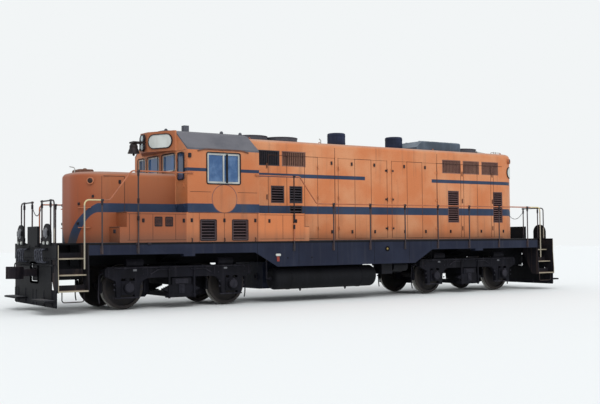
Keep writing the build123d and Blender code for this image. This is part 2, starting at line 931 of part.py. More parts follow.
def radiator_shutters():
    """Upright slats in a frame, one unit in each opening."""
    units = []
    y = (hood_half - hood_wall, hood_half - shutter_inset)
    middle = (y[0] + y[1]) / 2
    window_z = (radiator_z[0] + shutter_border, radiator_z[1] - shutter_border)
    for x in radiator_openings:
        window = (x[0] + shutter_border, x[1] - shutter_border)
        frame = block(x, y, radiator_z) - block(window, (y[0] - 1, y[1] + 1), window_z)
        count = int((window[1] - window[0]) / slat_pitch)
        for index in range(count):
            slat_x = window[0] + (index + 0.5) * (window[1] - window[0]) / count
            slat = block((-slat_thick, slat_thick), (-slat_half, slat_half),
                         (window_z[0] - 1, window_z[1] + 1))
            frame = frame + Pos(slat_x, middle, 0) * Rot(0, 0, slat_turn) * slat
        units += pair(frame)
    return units


def louvre_unit(x, z, face):
    """Level slats in a frame, set in a wall whose outer face lies at the given y."""
    y = (face - hood_wall, face - shutter_inset)
    middle = (y[0] + y[1]) / 2
    window = (x[0] + shutter_border, x[1] - shutter_border)
    window_z = (z[0] + shutter_border, z[1] - shutter_border)
    unit = block(x, y, z) - block(window, (y[0] - 1, y[1] + 1), window_z)
    count = int((window_z[1] - window_z[0]) / louvre_pitch)
    for index in range(count):
        slat_z = window_z[0] + (index + 0.5) * (window_z[1] - window_z[0]) / count
        slat = block((window[0] - 1, window[1] + 1), (-louvre_thick, louvre_thick),
                     (-louvre_half, louvre_half))
        unit = unit + Pos(0, middle, slat_z) * Rot(louvre_turn, 0, 0) * slat
    return unit


def hood_louvres():
    """One louvre unit in each opening of the long hood and of the cab's lower side walls."""
    units = []
    for openings, face in ((louvre_openings, hood_half), (cab_louvre_openings, cab_half)):
        for x, z in openings:
            units += pair(louvre_unit(x, z, face))
    return units


def engine():
    """Engine and generator as one plain block."""
    front = bay_front - engine_end
    rear = bay_rear + engine_rear
    crank_half = hood_half - crank_inset
    bank_half = hood_half - bank_inset
    crank = block((rear, front), (-crank_half, crank_half), (deck, deck + crank_height))
    bank = block((rear + bank_end, front - bank_end), (-bank_half, bank_half),
                 (deck + crank_height - 1, deck + bank_height))
    generator = rod_x(generator_radius, (front - 1, front + generator_length), 0, deck + generator_rise)
    foot = block((front - 1, front + generator_length - engine_rear),
                 (-generator_radius / 2, generator_radius / 2), (deck, deck + generator_rise / 2))
    return crank + bank + generator + foot


# Roof gear of the long hood
fan_housing_radius = fan_opening + fan_wall
first_fan = cab_rear_x - fan_setback
fan_places = [first_fan, first_fan - 2 * fan_housing_radius - fan_spacing_gap, rear_fan_inset - hood_rear]
bay_length = bay_front - bay_rear
stack_places = [bay_front - share * bay_length for share in stack_shares]


def exhaust_stacks():
    stacks = []
    for x in stack_places:
        body = rod_z(stack_radius, x, 0, (hood_top, hood_top + stack_height))
        top = body.edges().filter_by(GeomType.CIRCLE).sort_by(Axis.Z)[-1:]
        stacks.append(fillet(top, stack_edge))
    return stacks


def roof_hatch():
    """Raised box over the rear radiator, sloped in front, with rounded upper edges."""
    rear = hatch_inset - hood_rear
    front = stack_places[1] - stack_radius - hatch_gap
    top = hood_top + hatch_height
    outline = loop((rear, hood_top), (rear, top), (front - hatch_slope, top), (front, hood_top + hatch_lip),
                   (front, hood_top))
    box = side_plate(outline, (-hatch_half, hatch_half))
    return fillet(box.edges().group_by(Axis.Z)[-1], hatch_edge)


def fan_housings():
    """Low round shroud over each fan, with the motor's shaft on a cross arm."""
    units = []
    for x in fan_places:
        ring = rod_z(fan_housing_radius, x, 0, (hood_top, hood_top + fan_shroud_height))
        ring = ring - rod_z(fan_opening, x, 0, (hood_top - 1, hood_top + fan_shroud_height + 1))
        reach = fan_opening + fan_wall / 2
        arm = block((x - reach, x + reach), (-fan_arm_half, fan_arm_half),
                    (hood_top + fan_arm_low, hood_top + fan_arm_high))
        shaft = rod_z(fan_shaft, x, 0, (hood_top + fan_arm_low + 1, hood_top + fan_shaft_top))
        units.append(ring + arm + shaft)
    return units


def fan_rotor(x):
    """Pitched blades on a hub that turns on the motor's shaft."""
    z = hood_top + fan_height
    bore_z = (z - fan_hub_low - 1, hood_top + fan_shaft_top + running_gap)
    hub = rod_z(fan_hub, 0, 0, (z - fan_hub_low, z + fan_hub_high))
    hub = hub - rod_z(fan_shaft + running_gap, 0, 0, bore_z)
    for index in range(blade_count):
        blade = block((fan_hub - blade_root, fan_opening - blade_clear), (-blade_half, blade_half),
                      (-blade_thick, blade_thick))
        hub = hub + Pos(0, 0, z) * Rot(0, 0, index * 360 / blade_count) * Rot(blade_turn, 0, 0) * blade
    return Pos(x, 0, 0) * hub


# Cab
def cab_section(drop, half, low):
    """Face of the cab's cross section, its roof line lowered by drop."""
    z = [height - drop for height in (eave, shoulder, crown)]
    return [Line((-half, low), (half, low)), Line((half, low), (half, z[0])),
            Line((half, z[0]), (shoulder_half, z[1])),
            ThreePointArc((shoulder_half, z[1]), (0, z[2]), (-shoulder_half, z[1])),
            Line((-shoulder_half, z[1]), (-half, z[0])), Line((-half, z[0]), (-half, low))]


def cab_roof():
    """Roof shell with its vent."""
    low = eave - roof_thick
    outer = cross_plate(cab_section(0, cab_half, low), (cab_rear_x, cab_front_x))
    inner = cross_plate(cab_section(roof_thick, cab_half, low - roof_thick),
                        (cab_rear_x - 1, cab_front_x + 1))
    vent_x = cab_front_x - vent_inset
    vent = block((vent_x - vent_half, vent_x + vent_half), (vent_y - vent_half, vent_y + vent_half),
                 (crown - roof_thick + frame_set, crown + vent_height))
    return outer - inner + vent


# Windows: low and high y, then low and high z
front_z = (eave - front_window_drop - front_window_height, eave - front_window_drop)
front_windows = [
    ((254.0 - cab_half, 644.0 - cab_half), front_z),
    ((270.0 - door_seam_y, -50.0), front_z),
    ((180.0, door_seam_y - 90.0), front_z),
]
rear_windows = [
    ((hood_half + 90.0, cab_half - 124.0),
     (eave - rear_window_drop - rear_window_height, eave - rear_window_drop)),
]
side_window_x = (cab_rear_x + side_window_rear, cab_front_x - side_window_front)
side_window_z = (eave - side_window_drop - side_window_height, eave - side_window_drop)


def cab_end(x, windows, place):
    """Front or rear wall with its windows and its door opening."""
    wall = cross_plate(cab_section(roof_thick + running_gap, cab_half, deck), x)
    for y, z in windows:
        wall = wall - rounded_x((x[0] - 1, x[1] + 1), y, z, window_round)
    at, turn, flip = place
    side = 1 if at[1] > 0 else -1
    wall = wall - block((x[0] - 1, x[1] + 1), sorted((at[1], at[1] + side * cab_door_width)), cab_door_z)
    for strap in frame_hinges(cab_hinges):
        wall = wall + placed(strap, at, turn, flip)
    return wall


def cab_front():
    return cab_end((cab_front_x - cab_wall, cab_front_x), front_windows, cab_door_places["front"])


def cab_rear():
    return cab_end((cab_rear_x, cab_rear_x + cab_wall), rear_windows, cab_door_places["rear"])


def cab_sides():
    """Side walls between the end walls, each with its window and its louvre openings."""
    slope = shoulder_rise / roof_slope_width
    top = eave - roof_thick - running_gap
    inner = cab_half - cab_wall
    outline = loop((inner, deck), (cab_half, deck), (cab_half, top), (inner, top + cab_wall * slope))
    wall = cross_plate(outline, (cab_rear_x + cab_wall, cab_front_x - cab_wall))
    for x, z in [(side_window_x, side_window_z)] + cab_louvre_openings:
        wall = wall - block(x, (inner - 1, cab_half + 1), z)
    return pair(wall)


def cab_floor():
    """Floor plate on a cross wall."""
    x = (cab_rear_x + cab_wall, cab_front_x - cab_wall)
    half = cab_half - cab_wall
    plate = block(x, (-half, half), (floor - floor_thick, floor))
    leg = block((x[0] + floor_leg_inset, x[0] + floor_leg_inset + floor_leg), (-half, half),
                (deck, floor - floor_thick + 1))
    return plate + leg


# The two sliding sashes of a side window
side_middle = (side_window_x[0] + side_window_x[1]) / 2
sashes = [(side_window_x[0] + sash_width, side_middle - sash_middle),
          (side_middle + sash_middle, side_window_x[1] - sash_width)]
sash_z = (side_window_z[0] + sash_width, side_window_z[1] - sash_width)


def shrunk(pair_of_values, border):
    return (pair_of_values[0] + border, pair_of_values[1] - border)


def window_frames():
    """Frames set into the cab's window openings."""
    frames = []
    inner_round = window_round - window_border / 2
    for x, windows in (((cab_front_x - frame_deep, cab_front_x - frame_set), front_windows),
                       ((cab_rear_x + frame_set, cab_rear_x + frame_deep), rear_windows)):
        for y, z in windows:
            frame = rounded_x(x, y, z, window_round)
            frames.append(frame - rounded_x((x[0] - 1, x[1] + 1), shrunk(y, window_border),
                                            shrunk(z, window_border), inner_round))
    y = (cab_half - frame_set - sash_thick, cab_half - frame_set)
    frame = block(side_window_x, y, side_window_z)
    for x in sashes:
        frame = frame - block(x, (y[0] - 1, y[1] + 1), sash_z)
    return frames + pair(frame)


def cab_glass():
    """Panes that fill the openings of the frames."""
    panes = []
    inner_round = window_round - window_border / 2
    half = glass_thick / 2
    middle = (frame_set + frame_deep) / 2
    for x, windows in ((cab_front_x - middle, front_windows), (cab_rear_x + middle, rear_windows)):
        for y, z in windows:
            panes.append(rounded_x((x - half, x + half), shrunk(y, window_border), shrunk(z, window_border),
                                   inner_round))
    y = cab_half - frame_set - sash_thick / 2
    for x in sashes:
        panes += pair(block(x, (y - half, y + half), sash_z))
    return panes


# Light housing over the front windows
housing_z = (eave - housing_drop, shoulder + housing_rise)
housing_front = cab_front_x + housing_reach


def light_housing():
    """Housing whose faces carry the number boards and the headlight."""
    lip_x = cab_front_x + housing_lip
    left = [(housing_front, housing_face_half), (lip_x, housing_lip_half), (cab_front_x, housing_half)]
    plan = loop(*[(x, -y) for x, y in reversed(left)], *left)
    return plan_plate(plan, housing_z)


def number_boards():
    """Blank boards on the slanted faces of the light housing and round the rear corners of the hood."""
    start = Vector(cab_front_x + housing_lip, housing_lip_half, 0)
    run = Vector(housing_front, housing_face_half, 0) - start
    middle = start + run * 0.5
    plane = Plane(origin=(0, 0, 0), x_dir=(1, 0, 0), z_dir=(0, -1, 0))
    outline = plane * RectangleRounded(board_length, board_height, board_round)
    flat = extrude(outline, amount=board_thick, dir=(0, 1, 0))
    flat = (Pos(middle.X, middle.Y, (housing_z[0] + housing_z[1]) / 2)
            * Rot(0, 0, math.degrees(math.atan2(run.Y, run.X))) * flat)
    corner_y = hood_half - hood_corner
    band = rod_z(hood_corner + board_thick, 0, 0, (-board_height, board_height))
    band = band - rod_z(hood_corner, 0, 0, (-board_height - 1, board_height + 1))
    reach = extrude(outline, amount=hood_corner + 2 * board_thick, dir=(0, 1, 0))
    band = Rot(0, 0, 45) * (band & reach)
    band = Pos(hood_end_x, corner_y, hood_top - rear_board_drop) * band
    return pair(flat) + pair(band)


def class_lamp(centre_x, turn, z):
    """A round lamp that stands out from the rounded corner of a hood."""
    lamp = rod_x(class_lamp_radius, (hood_corner - class_lamp_out, hood_corner + class_lamp_out), 0, 0)
    lamp = lamp - rod_z(hood_corner, 0, 0, (-2 * class_lamp_radius, 2 * class_lamp_radius))
    return Pos(centre_x, hood_half - hood_corner, z) * Rot(0, 0, turn) * lamp


def headlights():
    """Two stacked lamps and two class lamps at each end."""
    middle = (housing_z[0] + housing_z[1]) / 2
    lamps = []
    for end in (-1, 1):
        lamps.append(rod_x(lamp_radius, (housing_front, housing_front + lamp_depth), 0,
                           middle + end * lamp_spacing / 2))
        lamps.append(rod_x(lamp_radius, (-hood_rear - lamp_depth, -hood_rear), 0,
                           hood_top - rear_lamp_drop + end * rear_lamp_spacing / 2))
    lamps += pair(class_lamp(nose_front - hood_corner, class_lamp_front_turn, nose_top - class_lamp_drop))
    lamps += pair(class_lamp(hood_end_x, class_lamp_rear_turn, hood_top - class_lamp_drop))
    return lamps


def bell():
    """Bell under its yoke on a bracket from the light housing."""
    x = housing_front + bell_reach
    top = bell_height
    waist = (bell_waist, top - bell_waist_drop)
    shoulder_point = (bell_waist - bell_shoulder_inset, top - bell_shoulder_drop)
    outline = [Line((0, top), (bell_crown, top)), ThreePointArc((bell_crown, top), shoulder_point, waist),
               Line(waist, (bell_mouth, 0)), Line((bell_mouth, 0), (0, 0)), Line((0, 0), (0, top))]
    mouth_z = housing_z[0] - bell_drop
    body = Pos(x, 0, mouth_z) * revolve(Plane.XZ * make_face(outline), Axis.Z)
    low = mouth_z + bell_height - bell_arm_drop
    z = (low, low + bell_arm_high)
    arm = block((housing_front, x + bell_arm_past), (bell_arm_y, bell_arm_y + bell_arm_thick), z)
    bar_half = bell_arm_y + bell_bar_lap
    bar = block((x - bell_bar_back, x + bell_arm_past), (-bar_half, bar_half), z)
    return body + bar + arm + mirrored(arm)


def horn():
    """Three trumpets on a bracket at the rear of the roof."""
    x = horn_inset - hood_rear
    base_half = horn_spread + horn_base_lap
    parts = [block((x, x + horn_base_length), (-base_half, base_half), (hood_top, hood_top + horn_post))]
    for y in (-horn_spread, 0, horn_spread):
        cone = Cone(horn_small, horn_mouth, horn_length)
        centre = Pos(x + horn_length / 2 - horn_back, y, hood_top + horn_post + horn_rise)
        parts.append(centre * Rot(0, 90, 0) * cone)
    return [fused(parts)]


def cab_seats():
    seats = []
    x = cab_rear_x + seat_x
    back = x - seat_half - seat_lap
    for side in (-1, 1):
        y = side * (cab_half - seat_inset)
        parts = [rod_z(seat_post, x, y, (floor, floor + seat_height - seat_thick + 1)),
                 rod_z(seat_foot, x, y, (floor, floor + seat_foot_thick)),
                 block((x - seat_half, x + seat_half), (y - seat_half, y + seat_half),
                       (floor + seat_height - seat_thick, floor + seat_height)),
                 block((back, back + seat_back_thick),
                       (y - seat_half + seat_back_inset, y + seat_half - seat_back_inset),
                       (floor + seat_height - seat_lap, floor + seat_back_height))]
        seats.append(fused(parts))
    return seats


def control_stand():
    """Engineer's stand on the right side of the cab."""
    front = cab_front_x - stand_front
    rear = front - stand_depth
    outline = loop((rear, floor), (front, floor), (front, floor + stand_height),
                   (front - stand_depth / 2, floor + stand_height), (rear, floor + stand_ledge))
    outer = stand_outer - cab_half
    return side_plate(outline, (outer, outer + stand_width))


# Walkway boxes: front and rear ends of each run and of its low step
front_box_x = cab_front_x + front_box_length
front_box_end = front_box_x + box_step_length
rear_box_x = cab_rear_x - rear_box_length
rear_box_end = rear_box_x - rear_box_step_length


def walkway_boxes():
    """Raised walkways beside the nose and behind the cab, each with a low step at its end."""
    y = (hood_half, deck_width_half)
    step_z = (deck, deck + box_step_height)
    shapes = [block((cab_front_x, front_box_x), y, (deck, floor)),
              block((front_box_x, front_box_end), y, step_z),
              block((rear_box_x, cab_rear_x), y, (deck, floor)),
              block((rear_box_end, rear_box_x), y, step_z)]
    return shapes + [mirrored(shape) for shape in shapes]


def handrails():
    """Side rails beside each hood, and rails across each end."""
    foot_x = step_inner + rail_setback
    start_z = rail + rail_start_z
    bracket_z = (rail_high - rail_bracket_half, rail_high + rail_bracket_half)
    cab_x = cab_front_x - rail_cab_lap
    front = tube([(foot_x, rail_y, start_z), (foot_x, rail_y, rail_low),
                  (front_box_end + rail_slope_front, rail_y, rail_low),
                  (front_box_x - rail_slope_lap, rail_y, rail_high), (cab_x, rail_y, rail_high)])
    front = front + block((cab_x - rail_bracket_half, cab_x + rail_bracket_half),
                          (deck_width_half, rail_y), bracket_z)
    cab_x = cab_rear_x + rail_setback
    rear = tube([(cab_x, rail_y, rail_high), (rear_box_x + rail_slope_rear, rail_y, rail_high),
                 (rear_box_end - rail_slope_end, rail_y, rail_low), (-foot_x, rail_y, rail_low),
                 (-foot_x, rail_y, start_z)])
    rear = rear + block((cab_x - rail_bracket_half, cab_x + rail_bracket_half),
                        (deck_width_half, rail_y), bracket_z)
    x = deck_half - end_rail_inset
    outer = deck_width_half - end_rail_outer
    across = tube([(x, end_rail_inner - clamp_half, rail_low), (x, outer, rail_low), (x, outer, deck)],
                  bend=end_rail_bend)
    shapes = [front, rear, across, turned(across)]
    return shapes + [mirrored(shape) for shape in shapes]


def post(x, top, clamped=True):
    """Upright on a foot against the sill, clamped round the rail at its top."""
    foot = block((x - post_foot_half, x + post_foot_half),
                 (deck_width_half, deck_width_half + post_foot_thick),
                 (deck - post_foot_low, deck - post_foot_high))
    upright = foot + rod_z(rail_radius, x, rail_y, (deck - post_foot_low + post_foot_lap, top))
    if clamped:
        upright = upright + rod_x(clamp_radius, (x - clamp_half, x + clamp_half), rail_y, top)
        upright = upright - rod_x(rail_radius, (x - clamp_half - 1, x + clamp_half + 1), rail_y, top)
    return upright


def end_post(x, y):
    """Upright on the deck at an end, clamped round the cross rail."""
    upright = rod_z(rail_radius, x, y, (deck, rail_low))
    upright = upright + rod_y(clamp_radius, x, (y - clamp_half, y + clamp_half), rail_low)
    return upright - rod_y(rail_radius, x, (y - clamp_half - 1, y + clamp_half + 1), rail_low)


def stanchions():
    """Uprights of the side and end rails."""
    shapes = [post(front_box_end + rail_slope_front + first_post_gap, rail_low),
              post(front_box_x - second_post_gap, rail_high),
              post(rear_box_x + short_post_inset, deck + short_post_height, False)]
    first = rear_box_end - rear_post_start
    last = rear_post_end - step_inner
    for index in range(rear_post_count):
        shapes.append(post(first + (last - first) * index / (rear_post_count - 1), rail_low))
    for end in (-1, 1):
        for y in (end_rail_inner, end_post_outer):
            shapes.append(end_post(end * (deck_half - end_rail_inset), y))
    return shapes + [mirrored(shape) for shape in shapes]


# Trucks: made about the truck centre
def side_frame():
    """Side frame with a pedestal for each journal box and an arch each side of the centre."""
    outer = axle_x + jaw_half
    inner = axle_x - jaw_half
    right = [(0, frame_top), (truck_reach - frame_bevel, frame_top), (truck_reach, frame_top - frame_bevel),
             (truck_reach, beam_low + frame_bevel), (outer + leg_width, beam_low - frame_bevel),
             (outer + leg_width - leg_taper, leg_low), (outer, leg_low), (outer, jaw_top), (inner, jaw_top),
             (inner, leg_low), (inner - leg_width + leg_taper, leg_low),
             (inner - leg_width, axle_z - arch_start)]
    left = [(-x, z) for x, z in right]
    start = right[-1]
    end = (start[0] - arch_run, beam_low)
    middle = (start[0] - arch_sag, beam_low - arch_sag)
    outline = [Polyline(*right), ThreePointArc(start, middle, end), Line(end, (-end[0], beam_low)),
               ThreePointArc((-end[0], beam_low), (-middle[0], middle[1]), (-start[0], start[1])),
               Polyline(*left)]
    return side_plate(outline, (frame_inner, frame_outer))


def truck_frame():
    """Two side frames joined by two transoms."""
    top = frame_top - transom_drop
    parts = pair(side_frame())
    for x in (-transom_x, transom_x):
        parts.append(block((x - transom_width / 2, x + transom_width / 2),
                           (-frame_inner - 1, frame_inner + 1), (top - transom_depth, top)))
    return fused(parts)


def truck_rigging():
    """Bolster, leaf springs, plank, hangers, journal boxes and brakes."""
    bolster = block((-bolster_half, bolster_half), (-frame_outer - bolster_lap, frame_outer + bolster_lap),
                    (spring_top, beam_low - bolster_clear))
    bolster = bolster + block((-bolster_half, bolster_half), (-bolster_neck_half, bolster_neck_half),
                              (beam_low - bolster_clear - 1, frame_top - bolster_drop))
    bolster = bolster + rod_z(bowl_radius, 0, 0, (frame_top - bowl_depth, frame_top))
    bolster = bolster - rod_z(pin_radius + running_gap, 0, 0, (spring_low, frame_top + 1))
    units = [bolster]
    leaf_thick = spring_height / (2 * leaf_count)
    leaves = []
    for index in range(2 * leaf_count):
        rise = min(index, 2 * leaf_count - 1 - index)
        reach = spring_half - leaf_step * (leaf_count - 1 - rise)
        z = spring_low + index * leaf_thick
        leaves.append(block((-reach, reach), (frame_inner, frame_outer), (z, z + leaf_thick)))
    units += pair(fused(leaves))
    plank_z = (spring_low - plank_depth, spring_low)
    plank = block((-plank_half, plank_half), (-frame_outer, frame_outer), plank_z)
    for side in (-1, 1):
        plank = plank + block((-hanger_x - plank_end, hanger_x + plank_end),
                              span(frame_inner, frame_outer, side), plank_z)
    units.append(plank)
    hanger_z = (spring_low - hanger_low_drop, frame_top - hanger_top_drop)
    for x in (-hanger_x, hanger_x):
        hanger = block((x - hanger_half, x + hanger_half), (frame_outer, frame_outer + hanger_thick),
                       hanger_z)
        for z in (hanger_z[0] + hanger_pin_inset, hanger_z[1] - hanger_pin_inset):
            hanger = hanger + rod_y(hanger_pin_radius, x, (frame_outer, frame_outer + 1.5 * hanger_thick), z)
        units += pair(hanger)
    middle_y = (frame_inner + frame_outer) / 2
    for x in (-axle_x, axle_x):
        box = block((x - jaw_half, x + jaw_half), (frame_inner - box_inner_lap, frame_outer + box_lap),
                    (axle_z - jaw_half, jaw_top - box_clear))
        box = box + rod_y(cap_radius, x, (frame_outer + box_lap - 1, frame_outer + cap_lap), axle_z)
        bore_y = (frame_inner - box_inner_lap - 1, journal_end + box_lap / 4)
        box = box - rod_y(journal_radius + running_gap, x, bore_y, axle_z)
        box = box + rod_z(spring_radius, x, middle_y, (jaw_top - box_clear - 1, jaw_top))
        x_in = x - cylinder_inset if x > 0 else x + cylinder_inset
        cylinder = rod_x(cylinder_radius, (x_in - cylinder_half, x_in + cylinder_half), middle_y,
                         frame_top + cylinder_radius)
        units += pair(box) + pair(cylinder)
        for run in (-1, 1):
            reach = wheel_radius + shoe_gap
            far = reach + shoe_thick
            shoe_y_span = (shoe_y - shoe_width / 2, shoe_y + shoe_width / 2)
            shoe = block(sorted((x + run * reach, x + run * far)), shoe_y_span,
                         (axle_z - shoe_half, axle_z + shoe_half))
            shoe = shoe - rod_y(wheel_radius + shoe_gap - 2, x, (shoe_y_span[0] - 1, shoe_y_span[1] + 1),
                                axle_z)
            bar_x = sorted((x + run * (far - shoe_thick / 2), x + run * (far + 5)))
            arm_z = (frame_top - 2 * brake_arm_drop, frame_top - brake_arm_drop)
            bar = block(bar_x, (shoe_y - brake_hanger_width / 2, shoe_y + brake_hanger_width / 2),
                        (axle_z - brake_bar_lap, arm_z[1]))
            arm = block(bar_x, (shoe_y - brake_hanger_width / 2, frame_inner), arm_z)
            units += pair(shoe + bar + arm)
    return units


def truck_motors():
    """Traction motor carried on each axle and on the transom."""
    motors = []
    transom_face = transom_x + transom_width / 2
    z = (axle_z - motor_low, axle_z + motor_high)
    front = axle_x - axle_radius - motor_clear
    motor = block((transom_face + motor_clear, front), (-motor_half, motor_half), z)
    motor = chamfer(motor.edges().filter_by(Axis.Y), motor_bevel)
    nose_z = (axle_z + motor_nose_rise, axle_z + motor_nose_rise + motor_nose_thick)
    motor = motor + block((transom_face, transom_face + 2.5 * motor_clear),
                          (-motor_nose_half, motor_nose_half), nose_z)
    bearing = axle_radius + motor_clear
    for y in ((motor_half - 2 * motor_arm_half, motor_half), (-motor_half, 2 * motor_arm_half - motor_half)):
        motor = motor + block((front - motor_clear, axle_x + bearing), y,
                              (axle_z - bearing, axle_z + bearing))
    motor = motor - rod_y(axle_radius + running_gap, axle_x, (-motor_half - 1, motor_half + 1), axle_z)
    for side in (1, -1):
        motors.append(motor if side > 0 else Rot(0, 0, 180) * motor)
    return motors


def wheelset():
    """Axle and two flanged wheels pressed onto it, about the truck's own axle height."""
    inner = back_to_back / 2
    outer = inner + rim_width
    flange = wheel_radius + flange_height
    rim = wheel_radius - rim_depth
    web_y = inner + web_inset
    hub_y = (inner - flange_round, outer + hub_lip)
    half_axle = [(0, 0), (axle_radius, 0), (axle_radius, hub_y[1]), (journal_radius + collar, hub_y[1]),
                 (journal_radius + collar, hub_y[1] + hub_lip), (journal_radius, hub_y[1] + hub_lip),
                 (journal_radius, journal_end), (0, journal_end)]
    wheel = [(axle_radius, hub_y[0]), (hub_radius, hub_y[0]), (hub_radius, web_y), (rim, web_y), (rim, inner),
             (flange - flange_round, inner), (flange, inner + flange_round),
             (flange, inner + 1.8 * flange_round),
             (wheel_radius + tread_slope, inner + flange_width + 2 * tread_slope),
             (wheel_radius - 2 * tread_slope, outer - rim_bevel),
             (wheel_radius - flange_round, outer), (rim, outer), (rim, web_y + web_thick),
             (hub_radius, web_y + web_thick), (hub_radius, hub_y[1]), (axle_radius, hub_y[1])]
    half = revolve(Plane.XY * make_face(loop(*half_axle)), Axis.Y)
    disc = revolve(Plane.XY * make_face(loop(*wheel)), Axis.Y)
    axle = half + mirrored(half)
    return [Pos(0, 0, axle_z) * shape for shape in (axle, disc, mirrored(disc))]


def truck_place(end):
    return Pos(end * truck_x, 0, 0) * Rot(0, 0, 0 if end > 0 else 180)


# Write one file for each piece
walls, hood_roof, hood_end = long_hood()
pieces = {
    "underframe": underframe(),
    "side_sills": side_sills(),
    "pilots": pilots(),
    "steps": steps(),
    "couplers": couplers(),
    "fuel_tank": fuel_tank(),
    "air_reservoirs": air_reservoirs(),
    "brake_equipment": brake_equipment(),
    "nose": nose(),
    "walkway_boxes": walkway_boxes(),
    "cab_front": cab_front(),
    "cab_rear": cab_rear(),
    "cab_sides": cab_sides(),
    "cab_roof": cab_roof(),
    "cab_floor": cab_floor(),
    "cab_glass": cab_glass(),
    "window_frames": window_frames(),
    "light_housing": light_housing(),
    "number_boards": number_boards(),
    "headlights": headlights(),
    "bell": bell(),
    "horn": horn(),
    "cab_seats": cab_seats(),
    "control_stand": control_stand(),
    "hood_sides": walls,
    "hood_roof": hood_roof,
    "hood_end": hood_end,
    "hood_louvres": hood_louvres(),
    "radiator_shutters": radiator_shutters(),
    "engine": engine(),
    "exhaust_stacks": exhaust_stacks(),
    "roof_hatch": roof_hatch(),
    "fan_housings": fan_housings(),
    "handrails": handrails(),
    "stanchions": stanchions(),
}
for name, end in (("front", 1), ("rear", -1)):
    place = truck_place(end)
    pieces["truck_frame_" + name] = place * truck_frame()
    pieces["truck_rigging_" + name] = [place * shape for shape in truck_rigging()]
    pieces["truck_motors_" + name] = [place * shape for shape in truck_motors()]
axle_places = [truck_x + axle_x, truck_x - axle_x, -truck_x + axle_x, -truck_x - axle_x]
for index, x in enumerate(axle_places):
    pieces["wheelset_%d" % (index + 1)] = [Pos(x, 0, 0) * shape for shape in wheelset()]
for index, x in enumerate(fan_places):
    pieces["fan_rotor_%d" % (index + 1)] = fan_rotor(x)
for name, (at, turn, flip) in cab_door_places.items():
    leaf = door_leaf(cab_door_width, cab_door_z, cab_hinges, cab_door_glass)
    pieces["cab_door_" + name] = placed(leaf, at, turn, flip)
for side_name, side in (("left", 1), ("right", -1)):
    for name, hinge_x, run in engine_doors:
        at, turn, flip = engine_door_place(hinge_x, run, side)
        leaf = door_leaf(door_width, engine_door_z, engine_hinges)
        pieces["engine_door_%s_%s" % (side_name, name)] = placed(leaf, at, turn, flip)

os.makedirs("parts", exist_ok=True)
for name, made in pieces.items():
    shape = Compound(children=list(made)) if isinstance(made, list) else made
    shape.label = name
    export_step(shape, "parts/%s.step" % name)
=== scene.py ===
import bpy
import bmesh
import math
import numpy as np
from mathutils import Matrix, Vector


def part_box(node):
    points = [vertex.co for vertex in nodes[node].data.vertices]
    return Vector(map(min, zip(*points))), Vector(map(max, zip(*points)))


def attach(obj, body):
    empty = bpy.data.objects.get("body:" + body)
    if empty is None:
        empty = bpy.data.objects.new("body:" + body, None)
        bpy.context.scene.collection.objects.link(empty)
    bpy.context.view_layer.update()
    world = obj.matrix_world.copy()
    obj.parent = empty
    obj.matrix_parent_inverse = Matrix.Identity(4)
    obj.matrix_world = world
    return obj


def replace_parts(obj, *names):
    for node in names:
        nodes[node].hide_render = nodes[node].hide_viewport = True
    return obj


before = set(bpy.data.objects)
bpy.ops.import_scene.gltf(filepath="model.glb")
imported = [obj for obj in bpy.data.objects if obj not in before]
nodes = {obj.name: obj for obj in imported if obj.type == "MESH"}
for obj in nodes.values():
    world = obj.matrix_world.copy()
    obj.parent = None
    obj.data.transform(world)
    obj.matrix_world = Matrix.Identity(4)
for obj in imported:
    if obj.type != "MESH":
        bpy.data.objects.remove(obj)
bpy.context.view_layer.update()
print("frame loaded:", len(nodes), "nodes")

scene = bpy.context.scene
scene.view_settings.view_transform = "Standard"

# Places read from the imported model, in metres. Heights in the dictionaries are above the rail head, as are
# deckLine and hoodLine; deckTop, hoodTop and noseTop are above the model's own zero.
railTop = 0.0254
rearTrim = 0.027
cornerRadius = 0.75
noseLow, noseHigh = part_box("nose")
hoodLow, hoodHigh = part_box("hood_end")
deckTop, hoodTop, noseTop = noseLow.z, hoodHigh.z, noseHigh.z
deckLine, hoodLine = deckTop - railTop, hoodTop - railTop
noseEnd, hoodRear, hoodHalf = noseHigh.x, hoodLow.x, noseHigh.y
noseCorner, rearCorner = noseEnd - cornerRadius, hoodRear + cornerRadius
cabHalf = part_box("cab_sides")[1].y
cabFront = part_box("cab_front")[1].x
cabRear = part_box("cab_rear")[0].x + rearTrim
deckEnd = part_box("underframe")[1].x
axlePlaces = [sum(p.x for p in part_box("wheelset_%d" % (i + 1))) / 2 for i in range(4)]
axleHeight = sum(p.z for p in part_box("wheelset_1")) / 2
truckPlaces = {"truck_front": sum(axlePlaces[:2]) / 2, "truck_rear": sum(axlePlaces[2:]) / 2}


# Camera: position above the rail head, heading, nod and roll in radians, lens for a 36 mm sensor
cameraView = {"place": (14.6594, 21.0964, 1.585), "heading": 0.5893, "nod": 0.0404, "roll": -0.009,
              "lens": 55.343, "sensor": 36.0, "far": 300.0}


def addCamera():
    turn, nod, roll = cameraView["heading"], cameraView["nod"], cameraView["roll"]
    ahead = Vector((-math.sin(turn) * math.cos(nod), -math.cos(turn) * math.cos(nod), math.sin(nod)))
    right = ahead.cross(Vector((0, 0, 1))).normalized()
    up = right.cross(ahead)
    right, up = (math.cos(roll) * right + math.sin(roll) * up, math.cos(roll) * up - math.sin(roll) * right)
    data = bpy.data.cameras.new("camera")
    data.lens, data.sensor_width, data.clip_end = cameraView["lens"], cameraView["sensor"], cameraView["far"]
    camera = bpy.data.objects.new("camera", data)
    scene.collection.objects.link(camera)
    place = Vector(cameraView["place"]) + Vector((0, 0, railTop))
    camera.matrix_world = Matrix.Translation(place) @ Matrix((right, up, -ahead)).transposed().to_4x4()
    scene.camera = camera


addCamera()
print("camera placed")


